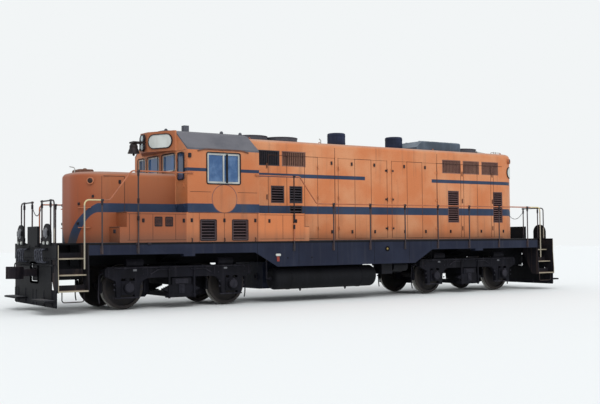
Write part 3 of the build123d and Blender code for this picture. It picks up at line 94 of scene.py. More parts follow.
# Shader maths: a Flow is one socket of a Graph, and its operators add Math nodes
class Flow:
    def __init__(self, graph, socket):
        self.graph, self.socket = graph, socket

    def by(self, operation, *others):
        return self.graph.maths(operation, self, *others)

    def __add__(self, other):
        return self.by("ADD", other)

    def __sub__(self, other):
        return self.by("SUBTRACT", other)

    def __rsub__(self, other):
        return self.graph.maths("SUBTRACT", other, self)

    def __mul__(self, other):
        return self.by("MULTIPLY", other)

    __radd__, __rmul__ = __add__, __mul__


class Graph:
    def __init__(self, tree):
        self.tree = tree

    def node(self, kind, settings, sockets, output=0):
        made = self.tree.nodes.new(kind)
        for key, value in settings.items():
            setattr(made, key, value)
        for key, value in (sockets.items() if isinstance(sockets, dict) else enumerate(sockets)):
            if isinstance(value, Flow):
                self.tree.links.new(value.socket, made.inputs[key])
            else:
                made.inputs[key].default_value = value
        return Flow(self, made.outputs[output])

    def maths(self, operation, *values):
        return self.node("ShaderNodeMath", {"operation": operation}, values)


def tone(code):  # a colour as it is seen, "rrggbb", turned into the linear values that Blender keeps
    parts = [int(code[i:i + 2], 16) / 255 for i in (0, 2, 4)]
    return tuple(c / 12.92 if c <= 0.04045 else ((c + 0.055) / 1.055) ** 2.4 for c in parts) + (1.0,)


class Paint(Graph):
    def __init__(self, name, **fixed):
        self.material = bpy.data.materials.new(name)
        self.material.use_nodes = True
        super().__init__(self.material.node_tree)
        self.shader = self.tree.nodes["Principled BSDF"]
        for socket, value in fixed.items():
            self.shader.inputs[socket.replace("_", " ")].default_value = value
        self.place = self.node("ShaderNodeTexCoord", {}, {}, "Object")
        self.x, self.y, self.z = [self.node("ShaderNodeSeparateXYZ", {}, [self.place], i) for i in range(3)]
        self.along, self.side = self.x.by("ABSOLUTE"), self.y.by("ABSOLUTE")

    def noise(self, scale, detail=3.0, stretch=None):
        place = self.place
        if stretch:
            place = self.node("ShaderNodeVectorMath", {"operation": "MULTIPLY"}, [self.place, stretch])
        return self.node("ShaderNodeTexNoise", {}, {"Vector": place, "Scale": scale, "Detail": detail,
                                                    "Roughness": 0.55})

    def ramp(self, value, low, high):  # 0 below low, 1 above high, smooth between
        return self.node("ShaderNodeMapRange", {"interpolation_type": "SMOOTHSTEP"},
                         {"Value": value, "From Min": low, "From Max": high})

    def band(self, value, low, high, soft=0.004):  # 1 between low and high
        return self.ramp(value, low - soft, low + soft) * (1 - self.ramp(value, high - soft, high + soft))

    def mix(self, factor, first, second):
        first, second = [tone(c) if isinstance(c, str) else c for c in (first, second)]
        return self.node("ShaderNodeMix", {"data_type": "RGBA"}, {0: factor, 6: first, 7: second}, 2)

    def upward(self):  # how far the surface faces up
        normal = self.node("ShaderNodeNewGeometry", {}, {}, "Normal")
        return self.node("ShaderNodeSeparateXYZ", {}, [normal], 2)

    def bump(self, height, strength=0.3, distance=0.01):
        return self.node("ShaderNodeBump", {}, {"Strength": strength, "Distance": distance, "Height": height})

    def show(self, colour, rough=None, metal=None, normal=None, alpha=None):
        for socket, flow in (("Base Color", colour), ("Roughness", rough), ("Metallic", metal), ("Normal", normal),
                             ("Alpha", alpha)):
            if flow is not None:
                self.tree.links.new(flow.socket, self.shader.inputs[socket])
        return self.material


# Body paint: tones, heights of the stripes, the gap in the thin one, and the round outline as x, z and radius
# The nose tone is painted shade for the nose's rounded front.
bodyLook = {"orange": "c17346", "faded": "ca8c64", "deep": "a85d37", "navy": "1b2a44", "navyFaded": "2a3a54",
            "forwardDarker": "8a4d30", "nose": "924625", "fitting": "241d20", "edge": "54301f", "dust": "9b8f88",
            "grime": "4b4038", "rust": "6b3a26", "inside": "8b958c",
            "thick": (2.25, 2.46), "thin": (3.20, 3.30), "thinCab": (3.23, 3.31), "gap": (-3.45, -1.0),
            "bendStart": 0.33, "emblem": (3.77, 2.58, 0.35)}
engineDoors = {"edges": (0.600, 0.034, -0.081, -0.648, -1.214, -1.781, -1.951, -2.517, -3.084, -3.650),
               "hinges": (0.600, -0.081, -1.866, -3.650), "heights": (1.60 + railTop, 3.78 + railTop)}


def stripeMask(paint):
    # Thick stripe: level along the sides, and from 0.33 m before each rounded corner its edges fall as
    # parabolas of the distance run round the corner. Thin stripe: level, with a gap in the long hood.
    x, z, side = paint.x, paint.z - railTop, paint.side
    z = z + (paint.noise(7.0, 2.0) - 0.5) * 0.006
    total = 0.0
    for sign, corner in ((1, noseCorner), (-1, rearCorner)):
        past = (x - corner) * sign
        turn = past.by("MAXIMUM", 0.0).by("ARCTAN2", side - (hoodHalf - cornerRadius))
        t = (past.by("MINIMUM", 0.0) + turn * cornerRadius - bodyLook["bendStart"]).by("MAXIMUM", 0.0)
        high = bodyLook["thick"][1] - t * 0.4984 - t * t * 0.511
        low = bodyLook["thick"][0] - t * 0.1654 - t * t * 2.128
        edge = paint.ramp(z - low, -0.004, 0.004) * paint.ramp(high - z, -0.004, 0.004)
        total = edge * paint.ramp(x * sign, 0.0, 0.001) + total
    cab = paint.band(x, cabRear - 0.03, cabFront + 0.03, 0.001) * paint.ramp(side, 1.0, 1.01)
    onHood = (1 - paint.ramp(x, cabRear - 0.001, cabRear)) * (1 - paint.band(x, *bodyLook["gap"]))
    onHood = onHood * paint.ramp(x, hoodRear + 0.35, hoodRear + 0.37)
    thin = cab * paint.band(z, *bodyLook["thinCab"]) + onHood * paint.band(z, *bodyLook["thin"])
    emblemX, emblemZ, radius = bodyLook["emblem"]
    dx, dz = x - emblemX, z - emblemZ
    away = (dx * dx + dz * dz).by("SQRT")
    disc = 1 - paint.ramp(away, radius - 0.004, radius + 0.004)
    ring = paint.band(away, radius - 0.016, radius, 0.003)
    return (total * (1 - disc * cab) + thin + ring * cab * 0.75).by("MINIMUM", 1.0)


def doorEdgeMask(paint):
    # Dirt along the upright edges of the engine-room doors.
    total = 0.0
    for x in engineDoors["edges"]:
        total = paint.band(paint.x, x - 0.009, x + 0.009, 0.006) + total
    return total * paint.band(paint.z, *engineDoors["heights"], 0.01)


def bodyPaint(name, stripes=True, inner=None, proud=None):
    # Two oranges in patches, a darker tone from the cab forward, painted shade on the nose's rounded front, the
    # stripes, rain marks, dust on top, chips; then what stands proud of the wall takes the fittings' colour, and what
    # lies behind it the cab's inside colour.
    look = bodyLook
    paint = Paint(name, Roughness=0.5, Specular_IOR_Level=0.3)
    patches, fine = paint.noise(0.9, 4.0), paint.noise(38.0)
    runs = paint.noise(1.0, 4.0, stretch=(7.0, 7.0, 0.5))
    colour = paint.mix(paint.ramp(patches, 0.35, 0.7), look["orange"], look["faded"])
    colour = paint.mix(paint.ramp(fine, 0.45, 0.8) * 0.35, colour, look["deep"])
    # Darker from the cab's rear wall forward, half as much high up on the walls, and more again on the nose.
    forwardDarker = paint.ramp(paint.x, cabRear, cabRear + 0.02) * (1 - paint.ramp(paint.z, 2.3, 3.4) * 0.5)
    forwardDarker = forwardDarker * 0.45 + paint.ramp(paint.x, cabFront - 0.01, cabFront + 0.01) * 0.5
    colour = paint.mix(forwardDarker * (0.75 + patches * 0.5), colour, look["forwardDarker"])
    # Painted shade: the nose's rounded front darkens to a deeper orange.
    colour = paint.mix(paint.ramp(paint.x, noseCorner + 0.08, noseEnd) * 0.75, colour, look["nose"])
    if stripes:
        navy = paint.mix(paint.ramp(patches + fine * 0.3, 0.45, 0.85), look["navy"], look["navyFaded"])
        colour = paint.mix(stripeMask(paint), colour, navy)
    colour = paint.mix(paint.ramp(runs, 0.52, 0.78) * 0.28, colour, look["grime"])
    low = 1 - paint.ramp(paint.z + (fine - 0.5) * 0.2, deckTop, deckTop + 0.34)
    colour = paint.mix(low * 0.5, colour, look["grime"])
    up = paint.ramp(paint.upward(), 0.25, 0.9)
    colour = paint.mix(up * (0.35 + paint.ramp(patches, 0.2, 0.8) * 0.25), colour, look["dust"])
    chips = paint.ramp(paint.noise(55.0, 2.0), 0.70, 0.74) * paint.ramp(paint.noise(3.0, 2.0), 0.5, 0.65)
    colour = paint.mix(chips * 0.8, colour, look["rust"])
    if proud:
        colour = paint.mix(doorEdgeMask(paint) * (0.55 + runs * 0.5), colour, look["edge"])
        colour = paint.mix(proud(paint), colour, look["fitting"])
    if inner:
        colour = paint.mix(inner(paint), colour, look["inside"])
    rough = 0.42 + fine * 0.16 + up * 0.2 + low * 0.15
    return paint.show(colour, rough, normal=paint.bump(fine * 0.6 + runs * 0.4, 0.12, 0.004))


def behindSide(paint):
    return 1 - paint.ramp(paint.side, cabHalf - 0.03, cabHalf - 0.029)


def behindEnds(paint):
    within = 1 - paint.ramp(paint.side, cabHalf - 0.003, cabHalf - 0.002)
    return paint.band(paint.x, cabRear + 0.03, cabFront - 0.03, 0.0005) * within


def proudOfSide(paint):
    # Latches are dark; the hinges beside the door posts keep the body's colour.
    hinges = 0.0
    for x in engineDoors["hinges"]:
        hinges = paint.band(paint.x, x - 0.085, x + 0.085) + hinges
    return paint.ramp(paint.side, hoodHalf + 0.001, hoodHalf + 0.003) * (1 - hinges)


def proudOfEnds(paint):
    past = paint.ramp(paint.x, cabFront + 0.001, cabFront + 0.003)
    return past + (1 - paint.ramp(paint.x, cabRear - 0.003, cabRear - 0.001))


# Plain paints, metals and rubber: base and second colour, dust (for the truck fittings also a painted
# highlight), roughness, metal, grain of the noise
finishes = {
    "sillPaint": ("161b2d", "1e2436", "3b3a41", 0.6, 0.0, 1.2),
    "blackPaint": ("06070c", "0c0d13", "1d1c22", 0.7, 0.0, 1.6),
    "truckPaint": ("0a0a11", "12121b", "2f2c33", 0.78, 0.0, 2.4),
    "stepPaint": ("14131a", "1f1b1f", "7d675b", 0.75, 0.0, 3.0),
    "roofPaint": ("4f5058", "5b5c65", "6e6c71", 0.7, 0.0, 1.4),
    "stackPaint": ("1c2233", "29314a", "41475a", 0.72, 0.0, 2.2),
    "hatchPaint": ("38434f", "505d6c", "8a929b", 0.6, 0.0, 1.5),
    "castSteel": ("15131a", "211b1f", "3a3436", 0.75, 0.1, 5.0),
    "tankPaint": ("111524", "181d2e", "2a2c36", 0.62, 0.0, 1.6),
    "greyMetal": ("767a80", "8d9095", "8c857c", 0.42, 0.6, 3.0),
    "paleMetal": ("a7aaa8", "bdbfbc", "968f84", 0.4, 0.5, 3.0),
    "bellDark": ("231f22", "332c2b", "4f4844", 0.5, 0.4, 6.0),
    "boardCream": ("c9cecb", "b6bbb8", "98948c", 0.5, 0.0, 2.0),
    "cream": ("9f9683", "8c8271", "665c51", 0.6, 0.0, 4.0),
    "treadBrown": ("5c4a41", "6b574d", "7a675c", 0.85, 0.0, 3.0),
    "rubber": ("15151a", "202026", "4b4744", 0.72, 0.0, 5.0),
    "seam": ("3a2824", "4a332b", "5b4538", 0.8, 0.0, 5.0),
    "seamBrown": ("5b382b", "6b4433", "6e5848", 0.7, 0.0, 5.0),
    "seamBlack": ("07070b", "0c0c11", "1c1b20", 0.8, 0.0, 5.0),
    "fitting": ("1d191f", "2b2529", "4a4242", 0.55, 0.0, 6.0),
    "lensDark": ("2c201d", "3d2c24", "5a463b", 0.2, 0.1, 9.0),
    "whiteMetal": ("c3c6c2", "aeb1ae", "8b8780", 0.5, 0.0, 4.0),
    "greyDark": ("5a5c62", "6d6e73", "8a8884", 0.6, 0.0, 6.0),
    "roofDark": ("3c3d45", "4a4b54", "66656a", 0.7, 0.0, 3.0),
    "orangeTrim": ("a8603c", "b87048", "8a7468", 0.55, 0.0, 4.0),
    # The truck fittings' pale dust tone stands partly for painted highlights on their upper faces.
    "truckFitting": ("1a1a22", "27262e", "57525a", 0.7, 0.1, 6.0),
    "coreDark": ("0c0b0f", "17141a", "241f22", 0.8, 0.0, 4.0),
    "enginePaint": ("4d565b", "5d676b", "3d3a36", 0.5, 0.0, 2.0),
    "standPaint": ("5f6c66", "6f7b74", "6b675e", 0.45, 0.0, 3.0),
    "floorPaint": ("4a2f28", "5b3b31", "5c544c", 0.7, 0.0, 3.0),
    "vinyl": ("2b2f33", "3a3e42", "55514c", 0.5, 0.0, 9.0),
    "red": ("8e2f22", "7a2c22", "6a5a50", 0.5, 0.0, 4.0),
    "brass": ("8f7a45", "a38d55", "6a5f4c", 0.35, 0.85, 5.0),
    "fanMetal": ("3b3e44", "4b4f55", "6d6963", 0.5, 0.4, 3.0),
}
shine = {"dark": 0.18, "other": 0.4, "darkSum": 140}


def finish(name):
    # Dark finishes, told by the sum of their base colour's parts, reflect less than the others.
    base, second, dust, rough, metal, grain = finishes[name]
    dark = sum(int(base[i:i + 2], 16) for i in (0, 2, 4)) < shine["darkSum"]
    paint = Paint(name, Metallic=metal, Specular_IOR_Level=shine["dark" if dark else "other"])
    broad, fine = paint.noise(grain, 4.0), paint.noise(grain * 18.0)
    runs = paint.noise(1.0, stretch=(8.0, 8.0, 0.6))
    up = paint.ramp(paint.upward(), 0.3, 0.9)
    colour = paint.mix(paint.ramp(broad, 0.35, 0.7), base, second)
    colour = paint.mix(paint.ramp(runs, 0.5, 0.8) * 0.3, colour, dust)
    # Upward faces take the dust tone; for the truck fittings it is partly a painted highlight.
    colour = paint.mix(up * paint.ramp(broad, 0.2, 0.6) * 0.55, colour, dust)
    colour = paint.mix(paint.ramp(fine, 0.5, 0.85) * 0.25, colour, base)
    return paint.show(colour, rough - 0.08 + fine * 0.16 + up * 0.12,
                      normal=paint.bump(fine * 0.7 + broad * 0.3, 0.15, 0.003))


def wheelPaint(axle):
    # The distance from the axle tells the worn tread from the oily web.
    paint = Paint("wheelPaint", Specular_IOR_Level=0.4)
    dx, dz = paint.x - axle, paint.z - axleHeight
    radius = (dx * dx + dz * dz).by("SQRT")
    broad, fine = paint.noise(3.0, 4.0), paint.noise(60.0)
    colour = paint.mix(paint.ramp(broad, 0.35, 0.7), "1b191e", "28231f")
    colour = paint.mix(paint.ramp(fine, 0.5, 0.8) * 0.3, colour, "3a312c")
    colour = paint.mix(paint.band(radius, 0.434, 0.502, 0.003) * 0.5, colour, "332d2b")
    worn = paint.ramp(radius, 0.5035, 0.5055) * paint.band(paint.side, 0.70, 0.80, 0.008)
    colour = paint.mix(worn, colour, "8e8c88")
    return paint.show(colour, 0.72 - worn * 0.42 + fine * 0.1, metal=worn * 0.8 + 0.1,
                      normal=paint.bump(fine, 0.2, 0.003))


def mottled(name, grains, first, second, spread=(0.35, 0.65), **fixed):
    # Two tones in broad patches, and the fine noise for specks and roughness.
    paint = Paint(name, **fixed)
    fine = paint.noise(grains[0])
    return paint, fine, paint.mix(paint.ramp(paint.noise(grains[1]), *spread), first, second)


def speckled(paint, colour, fine, start, amount, over, rough, bump):
    colour = paint.mix(paint.ramp(fine, start, 0.8) * amount, colour, over)
    return paint.show(colour, rough + fine * 0.2, normal=paint.bump(fine, *bump))


def railPaint():
    # Cream from the steps up to the first bend, then orange, and dark past the steps.
    paint, fine, colour = mottled("railPaint", (30.0, 2.5), "a8603c", "8b5238", (0.4, 0.7), Roughness=0.5)
    outer = paint.ramp(paint.y, 1.50, 1.51)
    near = outer * (1 - paint.ramp(paint.z, 2.60, 2.63)) + (1 - outer) * (1 - paint.ramp(paint.z, 1.85, 1.95)) * 0.7
    colour = paint.mix(paint.ramp(paint.along, 7.7, 7.75), colour, "2b2226")
    pale = paint.mix(paint.ramp(paint.z, 2.38, 2.42), "9c9484", "c0b084")
    colour = paint.mix(paint.ramp(paint.along, 6.86, 6.90) * near, colour, pale)
    return speckled(paint, colour, fine, 0.55, 0.6, "54382e", 0.45, (0.1, 0.002))


def postPaint():
    # Brown below, near-black at the top, orange where the post stands against the rear walkway box.
    paint, fine, colour = mottled("postPaint", (30.0, 2.0), "3a2a2b", "241f25", Roughness=0.55)
    colour = paint.mix(paint.ramp(paint.z, 2.45, 2.48), colour, "1d1a21")
    boxed = paint.band(paint.x, cabRear - 1.10, cabRear - 0.94, 0.01) * paint.ramp(paint.z, deckTop, deckTop + 0.02)
    colour = paint.mix(boxed, colour, "9c5a3a")
    return speckled(paint, colour, fine, 0.55, 0.5, "1a171c", 0.5, (0.1, 0.002))


def hosePaint():
    # Air gear is near-black under the deck; the hoses past the deck's ends are paler grey, partly worn rubber and
    # partly a painted highlight for their glints.
    paint, fine, colour = mottled("hosePaint", (22.0, 2.0), "0a0b11", "15161d", Specular_IOR_Level=0.18)
    past = paint.ramp(paint.along, deckEnd + 0.01, deckEnd + 0.03)
    # Paler grey on the hoses: worn rubber and a painted highlight.
    worn = paint.mix(paint.ramp(fine, 0.4, 0.7), "2e3039", "53555e")
    return paint.show(paint.mix(past, colour, worn), 0.5 + fine * 0.2, normal=paint.bump(fine, 0.1, 0.002))


def shutterPaint():
    # Slats are rust-brown behind, near-black in the first unit.
    paint, fine, colour = mottled("shutterPaint", (25.0, 1.7), "6d4a42", "7d5a4c", Roughness=0.6)
    colour = paint.mix(paint.ramp(paint.x, cabRear - 1.02, cabRear - 1.0), colour, "26232b")
    return speckled(paint, colour, fine, 0.5, 0.4, "3a2a28", 0.55, (0.15, 0.003))


def louvrePaint():
    paint, fine, colour = mottled("louvrePaint", (25.0, 1.7), "2f2a31", "463436", Roughness=0.6)
    colour = paint.mix(1 - paint.ramp(paint.x, -3.0, -2.9), colour, "5a4040")
    return speckled(paint, colour, fine, 0.5, 0.4, "241f24", 0.55, (0.15, 0.003))


def windowGlass():
    # A tinted pane that lets some of the cab show; the front panes are bluer, a painted reflection of the sky, the
    # doors' duller.
    paint = Paint("windowGlass", Roughness=0.06, IOR=1.5, Specular_IOR_Level=0.45)
    haze = paint.noise(5.0, 4.0)
    colour = paint.mix(paint.ramp(haze, 0.35, 0.75), "345580", "56749a")
    # Painted reflection: the front panes take a bluer tone for the sky they reflect.
    ahead = paint.ramp(paint.x, cabFront - 0.06, cabFront - 0.05)
    colour = paint.mix(ahead, colour, paint.mix(paint.ramp(paint.side, 1.0, 1.01), "24588f", "2f3f5c"))
    return paint.show(colour, 0.05 + haze * 0.12, alpha=0.86 + haze * 0.12 + ahead * 0.1)


def lampGlass():
    paint = Paint("lampGlass", Roughness=0.12, Specular_IOR_Level=0.9, Metallic=0.35)
    ribs = (paint.y * 520.0).by("SINE")
    colour = paint.mix(paint.ramp(paint.noise(14.0), 0.35, 0.7), "b9c4c6", "8f9da3")
    return paint.show(colour, 0.12 + paint.noise(20.0) * 0.15, normal=paint.bump(ribs, 0.3, 0.002))


def treadPaint():
    # Walkway plate: two crossed waves make the raised lozenges of the anti-slip pattern.
    paint = Paint("treadPaint", Roughness=0.7)
    lozenges = ((paint.x + paint.y) * 150.0).by("SINE") * ((paint.x - paint.y) * 150.0).by("SINE")
    broad = paint.noise(2.0, 4.0)
    colour = paint.mix(paint.ramp(broad, 0.35, 0.7), "2b2d36", "4c4a4b")
    colour = paint.mix(paint.ramp(lozenges, 0.2, 0.9) * 0.35, colour, "6a6764")
    return paint.show(colour, 0.6 + broad * 0.2, normal=paint.bump(lozenges, 0.5, 0.002))


looks = {name: finish(name) for name in finishes}
looks.update({
    "orangeStriped": bodyPaint("orangeStriped", proud=proudOfSide),
    "orangePlain": bodyPaint("orangePlain", stripes=False),
    "orangeCabSide": bodyPaint("orangeCabSide", inner=behindSide),
    "orangeCabEnd": bodyPaint("orangeCabEnd", inner=behindEnds, proud=proudOfEnds),
    "rail": railPaint(), "post": postPaint(), "hose": hosePaint(), "shutter": shutterPaint(),
    "louvre": louvrePaint(), "glass": windowGlass(), "lamp": lampGlass(), "tread": treadPaint(),
})
for index, axle in enumerate(axlePlaces):
    looks["wheel%d" % (index + 1)] = wheelPaint(axle)
print("paints mixed:", len(looks))

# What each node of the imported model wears; a name that ends in _ stands for all that start with it
nodeLooks = {
    "orangeStriped": ("nose", "hood_sides", "hood_roof", "hood_end", "engine_door_"),
    "orangePlain": ("walkway_boxes", "light_housing"), "orangeCabSide": ("cab_sides",),
    "orangeCabEnd": ("cab_front", "cab_rear", "cab_door_"), "sillPaint": ("side_sills",),
    "blackPaint": ("underframe", "pilots", "air_reservoirs"), "stepPaint": ("steps",), "castSteel": ("couplers",),
    "tankPaint": ("fuel_tank",), "hose": ("brake_equipment",), "roofPaint": ("cab_roof",),
    "floorPaint": ("cab_floor",), "glass": ("cab_glass",), "paleMetal": ("window_frames", "horn"),
    "boardCream": ("number_boards",), "lamp": ("headlights",), "bellDark": ("bell",), "vinyl": ("cab_seats",),
    "standPaint": ("control_stand",), "louvre": ("hood_louvres",), "shutter": ("radiator_shutters",),
    "enginePaint": ("engine",), "stackPaint": ("exhaust_stacks",), "hatchPaint": ("roof_hatch",),
    "rail": ("handrails",), "post": ("stanchions",), "roofDark": ("fan_housings",), "truckPaint": ("truck_",),
    "fanMetal": ("fan_rotor_",), **{"wheel%d" % i: ("wheelset_%d" % i,) for i in range(1, 5)},
}


def paintNodes():
    painted = 0
    for look, names in nodeLooks.items():
        for node in nodes:
            if any(node == name or name.endswith("_") and node.startswith(name) for name in names):
                mesh = nodes[node].data
                mesh.materials.clear()
                mesh.materials.append(looks[look])
                painted += 1
    print("nodes painted:", painted)


paintNodes()


# Shapes are (points, quads, triangles) arrays in u, v and w, and a piece is many of them joined
noTriangles = np.zeros((0, 3), int)
xWay, yWay, zWay = (1, 0, 0), (0, 1, 0), (0, 0, 1)


def joined(shapes):
    points, quads, triangles, start = [], [], [], 0
    for p, q, t in shapes:
        points.append(p)
        quads.append(q + start)
        triangles.append(t + start)
        start += len(p)
    return np.vstack(points), np.vstack(quads), np.vstack(triangles)


def gridded(points, closeRows=False, closeColumns=False):
    # Rows and columns of points joined by quads, closed round either way where asked.
    rows, columns = points.shape[:2]
    i, j = np.meshgrid(np.arange(rows - (not closeRows)), np.arange(columns - (not closeColumns)), indexing="ij")
    k, l = (i + 1) % rows, (j + 1) % columns
    quads = np.stack([i * columns + j, k * columns + j, k * columns + l, i * columns + l], -1).reshape(-1, 4)
    return points.reshape(-1, 3), quads, noTriangles


def tower(rings):
    # Rings of points, one above the other, joined by quads and closed by a fan at each end.
    count, around = rings.shape[:2]
    points, quads, _ = gridded(rings, False, True)
    j = np.arange(around)
    k, top = (j + 1) % around, (count - 1) * around
    low = np.stack([k, j, np.full(around, count * around)], -1)
    high = np.stack([top + j, top + k, np.full(around, count * around + 1)], -1)
    return np.vstack([points, rings[0].mean(0), rings[-1].mean(0)]), quads, np.vstack([low, high])


def turns(count):
    return np.linspace(0, 2 * math.pi, count, endpoint=False)


def turned(profile, around):
    # A profile of (radius, height) turned about w.
    radius, height = np.array(profile, float).T[:, :, None]
    flat = radius * np.cos(turns(around)), radius * np.sin(turns(around)), height
    return np.stack(np.broadcast_arrays(*flat), -1)


def lathe(profile, around=20):  # closed at both ends
    return tower(turned(profile, around))


def collar(profile, around=24):  # a closed profile, open in the middle
    return gridded(turned(profile, around), True, True)


def ring(radius, wire, around, sides, height=0.0):  # a wire bent to a circle
    turn = turns(sides)
    return collar(np.stack([radius + wire * np.cos(turn), wire * np.sin(turn) + height], -1), around)


def boltHead(radius, tall, crown, top):
    return lathe([(radius, 0), (radius, tall), (crown, top)], 6)


def outline(size, radius, inset, height, steps=4):
    # A rounded rectangle at a height: each corner is its centre + (radius - inset) * (cos, sin).
    turn = np.radians(np.arange(4)[:, None] * 90 + np.linspace(0, 90, steps + 1)[None, :])
    signU, signV = np.array([1, -1, -1, 1])[:, None], np.array([1, 1, -1, -1])[:, None]
    u = (size[0] / 2 - radius) * signU + (radius - inset) * np.cos(turn)
    v = (size[1] / 2 - radius) * signV + (radius - inset) * np.sin(turn)
    return np.stack([u.ravel(), v.ravel(), np.full(u.size, height)], -1)


def plate(size, corner=0.006, edge=0.003):
    # A rounded rectangle raised to its thickness in w, its last ring drawn in by the bevel.
    wide, tall, thick = size
    corner = min(corner, wide * 0.49, tall * 0.49)
    edge = min(edge, corner * 0.7, thick * 0.5)
    rings = ((0.0, 0.0), (thick - edge, 0.0), (thick, edge))
    return tower(np.array([outline(size, corner, inset, height, 3) for height, inset in rings]))


def hoop(size, radius, wide, thick):
    # A flat frame round a rounded rectangle: rows of points from its inner foot over to its outer foot.
    rows = ((0.0, 0.0), (0.0, thick), (wide * 0.85, thick), (wide, thick * 0.7), (wide, 0.0))
    return gridded(np.array([outline(size, radius, -out, height) for out, height in rows]), True, True)


def rounded(points, radius, steps=4):
    # Each corner becomes a curve that starts and ends one radius from it: (1-t)^2 a + 2t(1-t) b + t^2 c.
    points = np.array(points, float)
    t = np.linspace(0, 1, steps + 1)[:, None]
    line = [points[:1]]
    for a, b, c in zip(points[:-2], points[1:-1], points[2:]):
        back, on = a - b, c - b
        reach = min(radius, 0.45 * np.linalg.norm(back), 0.45 * np.linalg.norm(on))
        start, end = b + back / np.linalg.norm(back) * reach, b + on / np.linalg.norm(on) * reach
        line.append((1 - t) ** 2 * start + 2 * t * (1 - t) * b + t ** 2 * end)
    return np.vstack([*line, points[-1:]])


def headings(line):
    along = np.gradient(line, axis=0)
    return along / np.linalg.norm(along, axis=1)[:, None]


def bar(points, radius, bend=0.05, sides=8, section=None):
    # A circle, or another section, carried along a line that turns its frame as little as it can.
    line = rounded(points, bend) if bend else np.array(points, float)
    along = headings(line)
    side = np.cross(along[0], zWay if abs(along[0][2]) < 0.9 else xWay)
    across = []
    for step in along:
        side = side - step * (side @ step)
        side = side / np.linalg.norm(side)
        across.append(side)
    across = np.array(across)
    over = np.cross(along, across)
    if section is None:
        section = np.stack([np.cos(turns(sides)), np.sin(turns(sides))], -1)
    return tower(line[:, None] + radius * (section[:, :1] * across[:, None] + section[:, 1:] * over[:, None]))


def rod(start, end, radius, sides=8):
    return bar([start, end], radius, 0, sides)


def strip(line, outward, wide, thick):
    # A flat rectangle carried along a line on a surface, standing out along the surface's normal.
    line, outward = np.array(line, float), np.broadcast_to(np.array(outward, float), (len(line), 3))
    across, lift = np.cross(headings(line), outward) * wide / 2, outward * thick
    return tower(np.stack([line - across - lift, line + across - lift, line + across + lift, line - across + lift], 1))


def seam(run, half, wide, proud=0.002):  # along a run of (x, z) on the left side
    return strip([(x, half, z + railTop) for x, z in run], yWay, wide, proud)


def moved(shape, origin, u=xWay, v=zWay, w=yWay):
    # The shape's own u, v and w laid along three directions of the model.
    return shape[0] @ np.array([u, v, w], float) + np.array(origin, float), shape[1], shape[2]


def onSide(shape, x, z, y=hoodHalf):  # facing out of the left side
    return moved(shape, (x, y, z + railTop))


def onFront(shape, y, z, x):  # facing forward
    return moved(shape, (x, y, z + railTop), yWay, zWay, xWay)


def onRear(shape, y, z, x):  # facing back
    return moved(shape, (x, y, z + railTop), yWay, zWay, (-1, 0, 0))


def onTop(shape, x, y, z):  # facing up, z from the model's own zero
    return moved(shape, (x, y, z), xWay, yWay, zWay)


def facingOut(shape, x, y, z, out):  # facing a level direction
    return moved(shape, (x, y, z + railTop), (-out[1], out[0], 0), zWay, out)


def rimOn(place, u, v, corner, wide, thick, depth):
    # A flat frame laid by one of the functions above round the opening between two ranges.
    return place(hoop((u[1] - u[0], v[1] - v[0]), corner, wide, thick), sum(u) / 2, sum(v) / 2, depth)


def offCorner(corner, degrees, away=0.0):
    # A point off a hood's rounded corner and the way out of it, at an angle from straight ahead.
    out = (math.cos(math.radians(degrees)), math.sin(math.radians(degrees)), 0)
    radius = cornerRadius + away
    return corner + radius * out[0], hoodHalf - cornerRadius + radius * out[1], out


def onNose(x):
    # The same for the nose's side and corner, from the distance run past the corner's start.
    run = x - noseCorner
    if run <= 0:
        return x, hoodHalf, yWay
    return offCorner(noseCorner, 90 - math.degrees(run / cornerRadius))


def flipped(shapes, axis):
    scale = np.ones(3)
    scale[axis] = -1
    return [(p * scale, q, t) for p, q, t in shapes]


def bothSides(shapes):
    return shapes + flipped(shapes, 1)


def bothEnds(shapes):
    return shapes + flipped(shapes, 0)


def make(name, shapes, look, body="carbody", smooth=35.0):
    points, quads, triangles = joined(shapes)
    mesh = bpy.data.meshes.new(name)
    mesh.from_pydata(points.tolist(), [], quads.tolist() + triangles.tolist())
    sorter = bmesh.new()
    sorter.from_mesh(mesh)
    bmesh.ops.recalc_face_normals(sorter, faces=sorter.faces)
    sorter.to_mesh(mesh)
    sorter.free()
    mesh.polygons.foreach_set("use_smooth", np.ones(len(mesh.polygons), bool))
    mesh.set_sharp_from_angle(angle=math.radians(smooth))
    mesh.materials.append(looks[look])
    made = bpy.data.objects.new(name, mesh)
    scene.collection.objects.link(made)
    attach(made, body)
    print("made", name, len(quads) * 2 + len(triangles))
    return made


def makeSides(name, shapes, look, body="carbody"):
    return make(name, bothSides(shapes), look, body)


def makeCorners(name, shapes, look):
    return make(name, bothEnds(bothSides(shapes)), look)


# Seams between the hood's fixed doors and panels, and round the nose's door
seams = {"uprights": (2.15, 1.58, 1.02, -4.60, -4.72, -5.28, -5.85, -5.97), "heights": (1.60, 3.77),
         "levels": ((2.15, 0.60), (-3.66, -6.34), (-0.648, -1.214), (-2.517, -3.084)), "wide": 0.013, "proud": 0.0015,
         "joints": (0.028, -3.662), "jointWide": 0.012, "jointTop": 0.12,
         "noseDoor": ((6.62, 3.09), (6.10, 3.09), (6.10, 2.20)), "noseJoint": 6.65, "noseWide": 0.009, "noseTop": 0.11}


def hoodSeams():
    door, proud = seams["noseDoor"], seams["proud"]
    runs = [[(x, z) for z in seams["heights"]] for x in seams["uprights"]] + list(zip(door[:-1], door[1:]))
    runs += [[(x, z) for x in level] for level in seams["levels"] for z in seams["heights"]]
    shapes = [seam(run, hoodHalf, seams["wide"], proud) for run in runs]
    shapes += [seam([(x, deckLine), (x, hoodLine - seams["jointTop"])], hoodHalf, seams["jointWide"], proud)
               for x in seams["joints"]]
    x, y, out = onNose(seams["noseJoint"])
    shapes.append(strip([(x, y, deckTop), (x, y, noseTop - seams["noseTop"])], out, seams["noseWide"], proud))
    makeSides("hood_seams", shapes, "seam")


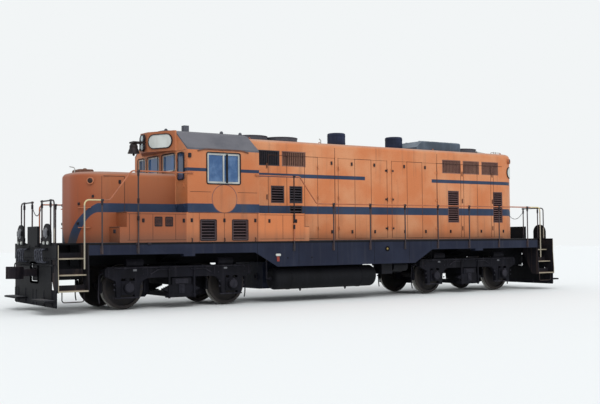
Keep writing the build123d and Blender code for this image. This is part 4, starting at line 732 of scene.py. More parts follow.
# Long hood and cab sides: latches, hinges, hooks, openings as ranges of x and z, drip rail and seams
railLine = 1.548
hoodSide = {"latch": (0.060, 0.090, 0.012), "latches": ((-4.17, 1.78), (-5.42, 1.78), (-6.36, 1.78), (1.66, 1.78)),
            "hinges": (2.19, -4.66, -5.91), "hingeHeights": (1.87, 2.68, 3.49),
            "cores": ((1.80, 2.46), (0.98, 1.73), (-4.61, -3.87), (-5.37, -4.70), (-6.18, -5.47)),
            "coreHeights": (3.47, 3.91), "finStep": 0.016, "finDepth": 0.022,
            "screens": (((1.66, 2.07), (2.53, 2.98)), ((1.09, 1.50), (2.53, 2.98)), ((1.09, 1.50), (2.25, 2.47)),
                        ((-4.52, -4.08), (2.04, 2.98)), ((-6.34, -5.94), (2.04, 2.98))), "screenStep": 0.03,
            "coreIn": 0.048, "screenIn": 0.052, "hingePin": (0.07, 0.010, 0.011), "hingeLeaf": (0.044, 0.11, 0.004),
            "footLine": 1.557, "boxPost": (cabRear - 1.02, deckTop + 0.45, deckTop + 1.637)}
cabSide = {"louvres": ((4.01, 4.42), (3.13, 3.55)), "louvreHeights": (1.588, 2.063), "coreIn": 0.07,
           "latches": ((4.66, 2.06), (3.78, 2.06), (2.91, 2.06)), "hooks": (4.66, 3.78, 2.91), "hookHeight": 1.585,
           "hook": ((0.0, 0.05), (0.03, 0.04), (0.03, -0.02), (0.012, -0.04)), "marker": (4.715, 3.60),
           "window": ((3.34, 4.24), (2.95, 3.68)), "sashPost": 3.70,
           "drip": ((4.50, 3.715), (4.30, 3.765), (3.30, 3.765), (3.10, 3.715)),
           "dripSection": ((-0.010, -0.014), (0.016, -0.014), (0.016, 0.010), (-0.010, 0.014)),
           "levels": ((4.70, 4.14), (3.40, 2.85)), "levelHeight": 2.74, "panel": (4.75, 2.81), "panelHeight": 2.24,
           "uprights": (4.46, 3.78, 2.85)}


def latch():
    # A plate with a raised handle across it and a stud at its foot.
    wide, tall, thick = hoodSide["latch"]
    handle = onTop(plate((wide * 0.45, tall * 0.78, thick * 1.4), 0.008, 0.004), 0, 0, thick)
    stud = onTop(lathe([(0.011, 0), (0.011, 0.010), (0.007, 0.014)], 8), 0, -tall * 0.36, thick)
    return joined([plate(hoodSide["latch"], 0.010, 0.003), handle, stud])


def corrugated(x, z, y, step):
    # A radiator's fins: the face runs to and fro as a triangle wave of x, closed by a flat back.
    count = 2 * int((x[1] - x[0]) / step) + 1
    face, back = y - np.where(np.arange(count) % 2, 0.0, hoodSide["finDepth"]), np.full(count, y - 0.03)
    rows = [(back, z[0]), (face, z[0]), (face, z[1]), (back, z[1])]
    points = [np.stack([np.linspace(*x, count), deep, np.full(count, height + railTop)], -1) for deep, height in rows]
    return gridded(np.array(points), closeRows=True)


def hoodFittings():
    makeSides("hood_latches", [onSide(latch(), x, z) for x, z in hoodSide["latches"]], "fitting")
    half, lift, radius = hoodSide["hingePin"]
    hinge = joined([rod((0, -half, lift), (0, half, lift), radius), plate(hoodSide["hingeLeaf"], 0.006, 0.002)])
    hinges = [onSide(hinge, x, z) for x in hoodSide["hinges"] for z in hoodSide["hingeHeights"]]
    makeSides("hood_hinges", hinges, "seamBrown")
    x, low, high = hoodSide["boxPost"]
    post = rod((x, railLine, low - 0.01), (x, railLine, high), 0.017)
    clamp = rod((x - 0.035, railLine, high), (x + 0.035, railLine, high), 0.0275)
    foot = bar([(x, cabHalf - 0.02, low + 0.03), (x, railLine, low + 0.03), (x, railLine, low + 0.20)], 0.026, 0.02)
    makeSides("box_posts", [post, clamp, foot], "fitting")
    rows = [(x, hoodSide["coreHeights"], hoodHalf - hoodSide["coreIn"], hoodSide["finStep"])
            for x in hoodSide["cores"]]
    rows += [(x, z, hoodHalf - hoodSide["screenIn"], hoodSide["screenStep"]) for x, z in hoodSide["screens"]]
    rows += [(x, cabSide["louvreHeights"], cabHalf - cabSide["coreIn"], hoodSide["screenStep"])
             for x in cabSide["louvres"]]
    cores = [corrugated(*row) for row in rows]
    makeSides("radiator_cores", cores, "coreDark")
    y, z = hoodHalf + 0.004, hoodSide["footLine"] + railTop
    makeSides("hood_foot", [rod((cabRear - 1.35, y, z), (rearCorner, y, z), 0.014)], "seamBrown")


def cabFittings():
    shapes = [rimOn(onSide, x, cabSide["louvreHeights"], 0.012, 0.022, 0.010, cabHalf) for x in cabSide["louvres"]]
    shapes += [onSide(latch(), x, z, cabHalf) for x, z in cabSide["latches"]]
    for x in cabSide["hooks"]:
        z = cabSide["hookHeight"] + railTop
        shapes.append(bar([(x, cabHalf + out, z + rise) for out, rise in cabSide["hook"]], 0.010, 0.02))
    shapes.append(onSide(plate((0.075, 0.11, 0.04), 0.015, 0.008), *cabSide["marker"], cabHalf))
    makeSides("cab_side_fittings", shapes, "fitting")
    x, z = cabSide["window"]
    sash = onSide(plate((0.055, z[1] - z[0] - 0.03, 0.012), 0.004, 0.003), cabSide["sashPost"], sum(z) / 2, cabHalf)
    makeSides("side_window_gaskets", [rimOn(onSide, x, z, 0.03, 0.028, 0.014, cabHalf), sash], "rubber")
    line = rounded([(x, cabHalf + 0.008, z + railTop) for x, z in cabSide["drip"]], 0.12, 6)
    makeSides("drip_rails", [bar(line, 1.0, 0, section=np.array(cabSide["dripSection"]))], "seamBrown")
    panel = cabSide["panelHeight"]
    lines = [seam([(x, cabSide["levelHeight"]) for x in level], cabHalf, 0.010) for level in cabSide["levels"]]
    lines.append(seam([(x, panel) for x in cabSide["panel"]], cabHalf, 0.012))
    lines += [seam([(x, deckLine), (x, panel)], cabHalf, 0.009) for x in cabSide["uprights"]]
    makeSides("cab_seams", lines, "seam")


# Cab ends: windows as ranges of y and z
cabEnds = {"front": (((-1.270, -0.880), (3.270, 3.690)), ((-0.700, -0.050), (3.270, 3.690)),
                     ((0.180, 0.880), (3.270, 3.690))), "rear": ((1.010, 1.400), (3.050, 3.680)),
           "gasket": (0.06, 0.026, 0.012), "doorGlass": ((1.045, 1.365), (3.040, 3.680)), "doorLeaf": 0.030}


def cabEndFittings():
    gaskets = [rimOn(onFront, y, z, *cabEnds["gasket"], cabFront) for y, z in cabEnds["front"]]
    gaskets.append(rimOn(onRear, *cabEnds["rear"], *cabEnds["gasket"], cabRear))
    make("end_window_gaskets", gaskets, "rubber")
    y, z = cabEnds["doorGlass"]
    place, leaf = (sum(y) / 2, sum(z) / 2), cabEnds["doorLeaf"]
    rim = hoop((y[1] - y[0] - 0.02, z[1] - z[0] - 0.02), 0.06, 0.030, 0.006)
    glass = plate((y[1] - y[0], z[1] - z[0], 0.008), 0.01, 0.002)
    for end, x in (("front", cabFront - leaf), ("rear", cabRear)):
        rims = [onFront(rim, *place, x + leaf), onRear(rim, *place, x)]
        pane = [onFront(glass, *place, x + leaf / 2 - 0.004)]
        if end == "rear":
            rims, pane = flipped(rims, 1), flipped(pane, 1)
        make("door_gasket_" + end, rims, "rubber", "cab_door_" + end)
        make("door_pane_" + end, pane, "glass", "cab_door_" + end)


# Lamps and boards: the housing's slanted face from (x, y) to (x, y), and each end's lamps and class lamps
lights = {"slant": ((4.83, 0.93), (5.20, 0.20)), "board": (0.70, 0.32), "boardCorner": 0.15, "boardZ": (4.005, 3.60),
          "rearBoardTurn": 135.0, "lamp": 0.095, "lampZ": (4.005, 3.68), "lampGap": (0.20, 0.28),
          "classTurn": (53.0, 115.0), "classZ": (2.980, 3.945),
          "bezel": ((0.001, 0.0), (0.022, 0.0), (0.020, 0.052), (0.010, 0.062), (-0.006, 0.060), (-0.008, 0.0505),
                    (0.001, 0.0505)),
          "hood": ((0.071, 0.0), (0.086, 0.0), (0.084, 0.050), (0.076, 0.056), (0.064, 0.054), (0.062, 0.046),
                   (0.071, 0.046)), "eye": ((0.061, 0.046), (0.045, 0.056), (0.02, 0.061))}


def onBoard(shape):
    # Laid on the slanted face of the light housing.
    start, end = np.array(lights["slant"])
    run = np.append(end - start, 0.0) / np.linalg.norm(end - start)
    middle = np.append((start + end) / 2, lights["boardZ"][0] + railTop)
    return moved(shape, middle, run, zWay, (-run[1], run[0], 0))


def onCorner(shape, corner, degrees, z):
    # Bent round a hood's rounded corner: u becomes the angle asin(u / R), w the distance out of it.
    points, quads, triangles = shape
    turn = math.radians(degrees) + np.arcsin(np.clip(points[:, 0] / cornerRadius, -1, 1))
    radius = cornerRadius + points[:, 2]
    bent = np.stack([corner + radius * np.cos(turn), hoodHalf - cornerRadius + radius * np.sin(turn),
                     points[:, 1] + z + railTop], -1)
    return bent, quads, triangles


def lampFittings():
    board, corner = lights["board"], lights["boardCorner"]
    makeSides("board_rims", [onBoard(hoop(board, corner, 0.022, 0.030)),
                             onCorner(hoop(board, corner, 0.020, 0.030), rearCorner, lights["rearBoardTurn"],
                                      lights["boardZ"][1])], "fitting")
    r = lights["lamp"]
    bezel = collar([(r + out, height) for out, height in lights["bezel"]])
    lens = lathe([(r - 0.009, 0.0505), (r * 0.75, 0.058), (r * 0.4, 0.063), (0.012, 0.065)], 24)
    ends = zip((onFront, onRear), lights["lampZ"], lights["lampGap"], (lights["slant"][1][0], hoodRear))
    lamps = [(place, middle + s * gap / 2, x) for place, middle, gap, x in ends for s in (-1, 1)]
    bezels = [place(bezel, 0, z, x) for place, z, x in lamps]
    bezels.append(onRear(hoop((0.02, lights["lampGap"][1] - 0.03), 0.14, 0.02, 0.03), 0, lights["lampZ"][1], hoodRear))
    make("lamp_bezels", bezels, "fitting")
    make("lamp_lenses", [place(lens, 0, z, x) for place, z, x in lamps], "lamp")
    hood, eye = collar(lights["hood"], 20), lathe(lights["eye"], 16)
    places = []
    for corner, degrees, z in zip((noseCorner, rearCorner), lights["classTurn"], lights["classZ"]):
        x, y, out = offCorner(corner, degrees)
        places.append((x, y, z, out))
    makeSides("class_lamp_hoods", [facingOut(hood, *place) for place in places], "orangeTrim")
    makeSides("class_lamp_eyes", [facingOut(eye, *place) for place in places], "lensDark")


# Bell: clapper and yoke bolts
bellGear = {"back": 0.15, "bolt": 0.130, "head": (0.017, 0.012, 0.010, 0.017),
            "clapper": ((0.008, -0.035), (0.026, -0.022), (0.030, 0.0), (0.024, 0.02), (0.008, 0.03))}


def bellFittings():
    low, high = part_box("bell")
    x, mouth = high.x - bellGear["back"], low.z
    shapes = [rod((x, 0, mouth + 0.20), (x, 0, mouth - 0.02), 0.010),
              onTop(lathe(bellGear["clapper"], 14), x, 0, mouth - 0.025)]
    bolt = boltHead(*bellGear["head"])
    shapes += [moved(bolt, (x, s * bellGear["bolt"], high.z - 0.02), xWay, zWay, (0, s, 0)) for s in (-1, 1)]
    make("bell_fittings", shapes, "bellDark")


# Short hood: latches, grab irons, top hatch and pipe
noseSide = {"latches": ((6.22, 2.96),), "blocks": ((7.20, 2.45), (7.23, 2.00), (6.85, 2.62)), "grabs": (1.90, 2.36),
            "grab": ((31, 0.0), (31, 0.045), (42, 0.045), (53, 0.045), (53, 0.0)),
            "block": (0.05, 0.06, 0.03), "knob": ((0.05, 0.0), (0.05, 0.02), (0.035, 0.035), (0.012, 0.04)),
            "hatchX": 6.77, "hatch": (0.38, 0.52, 0.085), "pipe": ((6.97, -0.01), (6.97, 0.13), (7.10, 0.15))}


def noseFittings():
    grabs = []
    for z in noseSide["grabs"]:
        line = [(*offCorner(noseCorner, degrees, away)[:2], z + railTop) for degrees, away in noseSide["grab"]]
        grabs.append(bar(line, 0.011, 0.03))
    makeSides("nose_grabs", grabs, "orangeTrim")
    shapes = [onSide(latch(), x, z) for x, z in noseSide["latches"]]
    for at, z in noseSide["blocks"]:
        x, y, out = onNose(at)
        shapes.append(facingOut(plate(noseSide["block"], 0.01, 0.006), x, y, z, out))
    makeSides("nose_latches", shapes, "fitting")
    x, tall = noseSide["hatchX"], noseSide["hatch"][2]
    lid = onTop(plate(noseSide["hatch"], 0.06, 0.025), x, 0, noseTop)
    knob = onTop(lathe(noseSide["knob"], 14), x - 0.05, 0, noseTop + tall)
    make("nose_hatch", [lid, knob], "seamBrown")
    make("nose_pipe", [bar([(x, 0, noseTop + rise) for x, rise in noseSide["pipe"]], 0.011, 0.04)], "paleMetal")


# Walkway boxes: vents, latches, lid seams and nosings; treads on every walkway
walkway = {"vents": (5.52, 5.25), "vent": (0.17, 0.20), "ventZ": 2.025, "slats": 7, "slatShare": 9,
           "latches": ((5.90, 2.05), (4.87, 2.05), (6.60, 1.80), (2.50, 2.05), (1.70, 2.05)),
           "lumps": ((6.05, 1.515), (5.75, 1.515)), "lump": (0.09, 0.05, 0.03),
           "heights": (2.20, 1.60), "uprights": (6.24, 5.66, 5.08, 2.10),
           "levels": ((cabFront + 0.01, 6.29), (1.45, cabRear - 0.01)), "inner": 0.95, "outer": 1.50,
           "deckTreads": ((-7.12, 1.29), (6.50, 7.18)), "boxTreads": ((4.80, 6.27), (1.47, 2.76)),
           "boxNosings": (6.30, 1.44), "stepNosings": (6.47, 1.30), "stepRise": 0.357}


def walkwayFittings():
    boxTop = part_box("walkway_boxes")[1].z
    shapes = [onSide(latch(), x, z, cabHalf) for x, z in walkway["latches"]]
    (wide, tall), middle, count = walkway["vent"], walkway["ventZ"], walkway["slats"]
    for x in walkway["vents"]:
        shapes.append(onSide(hoop((wide, tall), 0.010, 0.014, 0.010), x, middle, cabHalf))
        slat = plate((wide, tall / walkway["slatShare"], 0.008), 0.004, 0.002)
        shapes += [onSide(slat, x, middle - tall / 2 + (i + 0.5) * tall / count, cabHalf) for i in range(count)]
    shapes += [onSide(plate(walkway["lump"], 0.015, 0.01), x, z, cabHalf) for x, z in walkway["lumps"]]
    makeSides("walkway_latches", shapes, "fitting")
    runs = [[(x, z) for x in level] for level in walkway["levels"] for z in walkway["heights"]]
    runs += [[(x, z) for z in walkway["heights"]] for x in walkway["uprights"]]
    makeSides("walkway_seams", [seam(run, cabHalf, 0.009) for run in runs], "seam")
    wide, middle = walkway["outer"] - walkway["inner"], (walkway["outer"] + walkway["inner"]) / 2
    treads = [onTop(plate((x1 - x0, wide, 0.006), 0.02, 0.002), (x0 + x1) / 2, middle, z)
              for key, z in (("deckTreads", deckTop), ("boxTreads", boxTop)) for x0, x1 in walkway[key]]
    makeSides("walkway_treads", treads, "tread")
    nosings = [rod((x, hoodHalf + 0.01, z), (x, cabHalf - 0.004, z), 0.012)
               for key, z in (("boxNosings", boxTop), ("stepNosings", deckTop + walkway["stepRise"]))
               for x in walkway[key]]
    makeSides("walkway_nosing", nosings, "seamBrown")


# Side sills: skirt seams and the height where each starts, drain holes, fuel filler and gauge
sill = {"seams": ((2.85, 0.93), (1.62, 0.93), (0.40, 0.93), (-0.82, 0.93), (-2.05, 0.93), (-2.85, 0.93)),
        "lip": 7.18, "holes": ((1.96, 1.12), (1.22, 1.12)), "filler": (2.25, 1.20), "gauge": (-1.27, 1.31),
        "gaugeRadius": 0.07, "gaugeEye": ((0.030, 0.004), (0.029, 0.012), (0.016, 0.018), (0.004, 0.019)),
        "hole": ((0.020, 0.0), (0.020, 0.0025), (0.012, 0.003)), "fillerCap": (0.14, 0.062, 0.034),
        "fillerPlate": (0.075, 0.13, 0.012)}


def sillFittings():
    lines = [seam([(x, z), (x, deckLine - 0.045)], cabHalf, 0.008) for x, z in sill["seams"]]
    lines.append(seam([(sill["lip"], deckLine - 0.042), (-sill["lip"], deckLine - 0.042)], cabHalf, 0.008))
    hole = lathe(sill["hole"], 14)
    lines += [onSide(hole, x, z, cabHalf) for x, z in sill["holes"]]
    makeSides("sill_seams", lines, "seamBlack")
    x, z = sill["filler"]
    makeSides("fuel_filler", [onSide(plate(sill["fillerCap"], 0.022, 0.010), x, z, cabHalf)], "whiteMetal")
    makeSides("filler_plate", [onSide(plate(sill["fillerPlate"], 0.012, 0.003), x, z - 0.10, cabHalf)], "red")
    r = sill["gaugeRadius"]
    rim = collar([(r - 0.012, 0.0), (r, 0.0), (r, 0.016), (r - 0.012, 0.018)], 22)
    back = lathe([(r - 0.010, 0.0), (r - 0.012, 0.004), (0.01, 0.005)], 20)
    makeSides("gauge_rim", [onSide(shape, *sill["gauge"], cabHalf) for shape in (rim, back)], "seamBlack")
    eye = lathe(sill["gaugeEye"], 18)
    makeSides("gauge_glass", [onSide(eye, *sill["gauge"], cabHalf)], "brass")


hoodSeams()
print("seams laid")
for fit in (hoodFittings, cabFittings, cabEndFittings, lampFittings, bellFittings, noseFittings, walkwayFittings,
            sillFittings):
    fit()
print("body fitted")


# Corner steps: each tread's height and outer edge, its grips, and the line of the stringers' edge as (y, z)
stepLook = {"x": (7.212, 7.888), "treads": ((1.210, 1.280), (0.850, 1.415), (0.500, 1.550)), "deep": 0.23,
            "grips": 5, "gripStep": 0.034,
            "edge": ((1.527, 1.500), (1.527, 1.150), (1.555, 0.620), (1.555, 0.465))}


def stepFittings():
    nosings, boards, grips = [], [], []
    x0, x1 = stepLook["x"]
    wide, middle, deep = x1 - x0 - 0.01, (x0 + x1) / 2, stepLook["deep"]
    for z, y in stepLook["treads"]:
        top = z + railTop
        nosings.append(onSide(plate((wide, 0.030, 0.004), 0.004, 0.002), middle, z - 0.012, y))
        nosings.append(onTop(plate((wide, 0.035, 0.003), 0.004, 0.001), middle, y - 0.020, top))
        boards.append(onTop(plate((wide, deep - 0.04, 0.002), 0.004, 0.001), middle, y - 0.020 - deep / 2, top))
        grips += [onTop(plate((wide - 0.06, 0.012, 0.006), 0.005, 0.002), middle, y - 0.065 - i * stepLook["gripStep"],
                        top) for i in range(stepLook["grips"])]
    makeCorners("step_nosings", nosings, "cream")
    makeCorners("step_boards", boards, "treadBrown")
    makeCorners("step_grips", grips, "treadBrown")
    for name, x, look in (("inner", x0 - 0.006, "truckFitting"), ("outer", x1 + 0.006, "cream")):
        edge = strip([(x, y, z + railTop) for y, z in stepLook["edge"]], yWay, 0.014, 0.003)
        makeCorners("step_edges_" + name, [edge], look)


# Handrails: clamps on the posts, bolts through their feet, and the end posts' clamps and feet
railGear = {"sleeve": ((0.019, -0.055), (0.027, -0.050), (0.027, 0.050), (0.019, 0.055)), "posts": (6.90, 6.03),
            "sleeves": ((6.90, 2.44), (6.03, 3.12), (6.03, 2.50), (6.03, 2.10), (1.77, 1.90)), "short": 1.77,
            "rear": (0.536, -6.75, 7), "rearZ": 2.43, "footZ": (1.32, 1.44), "boltGap": 0.022,
            "bolt": (0.012, 0.007, 0.007, 0.010), "foot": ((0.045, 0.0), (0.045, 0.012), (0.022, 0.016)),
            "endX": 7.870, "endPosts": (0.35, 0.95), "endFeet": (0.35, 0.95, 1.18), "endZ": (2.40, 1.62)}


def railFittings():
    sleeve, rear = collar(railGear["sleeve"], 12), np.linspace(*railGear["rear"])
    places = [*railGear["sleeves"], *((x, railGear["rearZ"]) for x in rear)]
    shapes = [onTop(sleeve, x, railLine, z + railTop) for x, z in places]
    bolt = boltHead(*railGear["bolt"])
    shapes += [onSide(bolt, x + s * railGear["boltGap"], z, cabHalf + 0.012)
               for x in (*railGear["posts"], *rear, railGear["short"]) for s in (-1, 1) for z in railGear["footZ"]]
    makeSides("rail_clamps", shapes, "fitting")
    ends = [onTop(sleeve, railGear["endX"], y, z + railTop) for y in railGear["endPosts"] for z in railGear["endZ"]]
    foot = lathe(railGear["foot"], 14)
    ends += [onTop(foot, railGear["endX"], y, deckTop) for y in railGear["endFeet"]]
    makeCorners("end_clamps", ends, "fitting")


# End plates: receptacle, uncoupling lever, hose clips, bolts, low apron, footboard grips, chain and coupler pin
endGear = {"plateX": 7.925, "stand": (0.95, 1.775, 7.970), "lugs": 0.15, "caps": ((-0.13, -0.22), (0.13, -0.22)),
           "cover": ((0.120, 0.0), (0.120, 0.014), (0.096, 0.020), (0.090, 0.045), (0.050, 0.056), (0.012, 0.060)),
           "lever": ((7.965, 1.40, 0.90), (7.965, 1.40, 1.06), (7.965, 0.26, 1.06), (8.20, 0.12, 1.055)),
           "lug": (0.05, 0.12, 0.03), "flange": (0.075, 0.075, 0.008), "bolt": (0.014, 0.008, 0.008, 0.012),
           "brackets": (1.33, 1.02, 0.30), "bracketZ": 1.06, "hoses": (0.42, 0.57, 0.72, 0.87),
           "hoseEnds": ((1.413, 0.0), (1.123, 0.06)),
           "clip": ((0.019, -0.012), (0.030, -0.010), (0.030, 0.010), (0.019, 0.012)),
           "boltRows": (1.505, 1.215), "bolts": (0.10, 0.15, 10), "board": (8.055, 1.00, 0.30),
           "grip": (0.22, 0.90, 0.005), "pinHead": ((0.034, 0.0), (0.034, 0.016), (0.020, 0.026)),
           "hole": (0.50, 0.40, 0.88), "cap": ((0.040, 0.0), (0.040, 0.022), (0.026, 0.034)), "stepHinge": 0.24,
           "apron": (0.13, 0.52, 1.49), "apronRibs": (0.12, 0.66, 1.20, 1.46),
           "chain": (0.34, 2.40, 2.18), "links": 25, "link": (0.011, 0.0035, 1.75), "pin": (8.44, 0.115)}


def chainLinks():
    # Close to a catenary: z = low + (high - low) (y / half)^2, with each link turned a quarter from the last.
    half, high, low = endGear["chain"]
    radius, wire, long = endGear["link"]
    points, quads, triangles = ring(radius, wire, 12, 6)
    link = (points * (long, 1.0, 1.0), quads, triangles)
    shapes = []
    for i, y in enumerate(np.linspace(-half, half, endGear["links"])):
        slope = 2 * (high - low) * y / half ** 2
        along = np.array([0.0, 1.0, slope]) / math.hypot(1.0, slope)
        first, second = np.array(xWay, float), np.cross(along, xWay)
        if i % 2:
            first, second = second, -first
        z = low + (high - low) * (y / half) ** 2 + railTop
        shapes.append(moved(link, (railGear["endX"], y, z), along, first, second))
    return shapes


def endFittings():
    x = endGear["plateX"]
    standY, standZ, standX = endGear["stand"]
    makeCorners("receptacle_covers", [onFront(lathe(endGear["cover"], 26), standY, standZ, standX)], "greyDark")
    cap = lathe(endGear["cap"], 16)
    caps = [onFront(cap, standY + y, standZ + z, standX) for y, z in endGear["caps"]]
    makeCorners("receptacle_caps", caps, "paleMetal")
    lug, flange = plate(endGear["lug"], 0.015, 0.006), plate(endGear["flange"], 0.01, 0.003)
    dark = [onFront(lug, standY + s * endGear["lugs"], standZ, standX) for s in (-1, 1)]
    dark.append(bar([(px, py, pz + railTop) for px, py, pz in endGear["lever"]], 0.014, 0.05))
    z = endGear["bracketZ"] + railTop
    dark += [rod((x, y, z), (x + 0.052, y, z), 0.022) for y in endGear["brackets"]]
    for y in endGear["hoses"]:
        for z, shift in endGear["hoseEnds"]:
            dark.append(onFront(collar(endGear["clip"], 12), y + shift, z, x + 0.030))
            dark.append(onFront(flange, y + shift, z, x))
    wide, tall, z = endGear["hole"]
    dark.append(onFront(hoop((wide, tall), 0.01, 0.05, 0.016), 0.0, z, x))
    first, step, count = endGear["bolts"]
    bolt = boltHead(*endGear["bolt"])
    dark += [onFront(bolt, first + i * step, z, x) for z in endGear["boltRows"] for i in range(count)]
    hingeY, hingeZ = endGear["stepHinge"], deckTop - 0.06
    dark.append(rod((x + 0.068, hingeY - 0.07, hingeZ), (x + 0.068, hingeY + 0.07, hingeZ), 0.013))
    makeCorners("end_fittings", dark, "blackPaint")
    low, high, reach = endGear["apron"]
    middle = (low + high) / 2
    apron = [onFront(plate((reach, high - low, 0.016), 0.03, 0.004), reach / 2, middle, x - 0.022)]
    apron += [onFront(plate((0.05, high - low - 0.04, 0.014), 0.01, 0.004), y, middle, x - 0.006)
              for y in endGear["apronRibs"]]
    makeCorners("end_aprons", apron, "truckPaint")
    boardX, boardY, boardZ = endGear["board"]
    grip = onTop(plate(endGear["grip"], 0.01, 0.002), boardX, boardY, boardZ + railTop)
    makeCorners("footboard_grips", [grip], "tread")
    make("end_chains", bothEnds(chainLinks()), "fitting")
    pin = [onTop(lathe(endGear["pinHead"], 14), *endGear["pin"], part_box("couplers")[1].z - 0.027)]
    make("coupler_pins", pin + flipped(flipped(pin, 0), 1), "castSteel")


# Roof: fan guards, seams, lifting eyes, pipes, hatch lids, horn rims and the cab's knobs
roofGear = {"fans": (2.15, 1.19, -5.50), "shroud": 0.155, "guardRings": (0.40, 0.33, 0.26, 0.19, 0.12), "spokes": 8,
            "rim": ((0.422, -0.010), (0.478, -0.012), (0.478, 0.004), (0.466, 0.010), (0.424, 0.008)),
            "foot": ((0.464, 0.0), (0.492, 0.0), (0.488, 0.012), (0.464, 0.014)),
            "seams": (0.62, 0.03, -0.62, -1.85, -3.66, -4.60, -6.20), "seamHalf": 0.78,
            "eyes": (2.55, 0.35, -3.75, -6.55), "eyeY": 0.66, "pipe": (0.33, 0.70), "hatchNeck": 0.26, "hatchLids": 4,
            "hornRim": ((0.052, -0.010), (0.060, -0.012), (0.066, -0.002), (0.062, 0.0), (0.052, -0.002)),
            "horns": (-0.11, 0.0, 0.11), "rearPipe": (-6.30, -6.72, 0.50),
            "cabKnobs": ((2.85, 0.70), (4.62, 0.05), (3.35, 0.62)), "crownIn": 0.13, "crown": (0.130, 0.95),
            "knob": ((0.045, -0.01), (0.045, 0.03), (0.030, 0.055), (0.010, 0.065)), "guardWire": 0.0045,
            "spokeReach": (0.05, 0.425), "spokeTurn": 0.2, "hub": ((0.085, -0.016), (0.085, -0.006), (0.05, 0.004)),
            "eye": (0.026, 0.008), "eyePlate": (0.09, 0.06, 0.008), "handleY": 0.30,
            "handle": ((-0.06, 0.008), (-0.06, 0.035), (0.06, 0.035), (0.06, 0.008))}


def roofFittings():
    guards, rims = [], []
    z = hoodTop + roofGear["shroud"]
    for x in roofGear["fans"]:
        wire, reaches = roofGear["guardWire"], roofGear["spokeReach"]
        guards += [onTop(ring(radius, wire, 36, 6), x, 0, z - 0.008) for radius in roofGear["guardRings"]]
        for turn in turns(roofGear["spokes"]) + roofGear["spokeTurn"]:
            start, end = [(x + reach * math.cos(turn), reach * math.sin(turn), z - 0.006) for reach in reaches]
            guards.append(rod(start, end, 0.005, 6))
        guards.append(onTop(lathe(roofGear["hub"], 20), x, 0, z))
        rims += [onTop(collar(roofGear["rim"], 48), x, 0, z), onTop(collar(roofGear["foot"], 48), x, 0, hoodTop)]
    make("fan_guards", guards, "fanMetal")
    make("fan_rims", rims, "roofDark")
    half = roofGear["seamHalf"]
    lines = [strip([(x, -half, hoodTop), (x, half, hoodTop)], zWay, 0.010, 0.002) for x in roofGear["seams"]]
    make("roof_seams", lines, "seamBrown")
    y = roofGear["eyeY"]
    eyes = [moved(ring(*roofGear["eye"], 16, 8), (x, y, hoodTop + 0.022)) for x in roofGear["eyes"]]
    eyes += [onTop(plate(roofGear["eyePlate"], 0.012, 0.003), x, y, hoodTop) for x in roofGear["eyes"]]
    makeSides("lifting_eyes", eyes, "orangeTrim")
    x, y = roofGear["pipe"]
    pipe = bar([(x, y, hoodTop - 0.01), (x, y, hoodTop + 0.10), (x + 0.05, y, hoodTop + 0.13)], 0.016, 0.03)
    make("roof_pipe", [pipe], "paleMetal")
    low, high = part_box("roof_hatch")
    lids, count = [], roofGear["hatchLids"]
    step = (high.x - roofGear["hatchNeck"] - low.x) / count
    for i in range(count):
        middle = low.x + (i + 0.5) * step
        lids.append(onTop(plate((step - 0.05, high.y - low.y - 0.16, 0.010), 0.03, 0.004), middle, 0, high.z - 0.001))
        for y in (-roofGear["handleY"], roofGear["handleY"]):
            lids.append(bar([(middle + dx, y, high.z + rise) for dx, rise in roofGear["handle"]], 0.007, 0.015, 6))
    make("hatch_lids", lids, "hatchPaint")
    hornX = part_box("horn")[1].x
    rim = collar(roofGear["hornRim"], 20)
    rims = [moved(rim, (hornX, y, hoodTop + 0.075), yWay, zWay, xWay) for y in roofGear["horns"]]
    make("horn_rims", rims, "paleMetal")
    x0, x1, y = roofGear["rearPipe"]
    low, high = hoodTop - 0.01, hoodTop + 0.075
    rods = [bar([(x0, y, low), (x0, y, high), (x1, y, high), (x1, y, low)], 0.011, 0.03)]
    rods += [rod((x, y, low), (x, y, hoodTop + 0.10), 0.010) for x in (x0 - 0.13, (x0 + x1) / 2)]
    make("rear_roof_pipe", rods, "paleMetal")
    # The cab's roof falls away from its crown as a parabola of y.
    knob, crown = lathe(roofGear["knob"], 16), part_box("cab_roof")[1].z - roofGear["crownIn"]
    fall, half = roofGear["crown"]
    knobs = [onTop(knob, x, y, crown - fall * (y / half) ** 2) for x, y in roofGear["cabKnobs"]]
    make("cab_roof_knobs", knobs, "roofDark")


# Exhaust stacks: a flared foot, a straight drum and a rolled lip round a dark mouth
stackShape = {"radius": 0.255, "tall": 0.405, "mouth": 0.19, "half": 0.3, "bands": (0.12, 0.33)}


def stackFittings():
    low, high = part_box("exhaust_stacks")
    r, tall, mouth = stackShape["radius"], stackShape["tall"], stackShape["mouth"]
    drum = collar([(mouth, tall - 0.16), (mouth, tall - 0.02), (mouth + 0.012, tall - 0.002), (r - 0.03, tall),
                   (r - 0.004, tall - 0.014), (r, tall - 0.04), (r, 0.06), (r + 0.006, 0.055), (r + 0.006, 0.04),
                   (r + 0.030, 0.012), (r + 0.030, 0.0), (mouth, 0.0)], 40)
    drums = [drum] + [ring(r + 0.002, 0.006, 40, 6, height) for height in stackShape["bands"]]
    mouths = [lathe([(mouth + 0.002, tall - 0.17), (mouth + 0.002, tall - 0.155), (0.05, tall - 0.150)], 32)]
    for kind, shapes, look in (("drums", drums, "stackPaint"), ("mouths", mouths, "coreDark")):
        places = (low.x + stackShape["half"], high.x - stackShape["half"])
        placed = [onTop(shape, x, 0, hoodTop) for x in places for shape in shapes]
        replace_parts(make("stack_" + kind, placed, look, smooth=30.0), "exhaust_stacks")


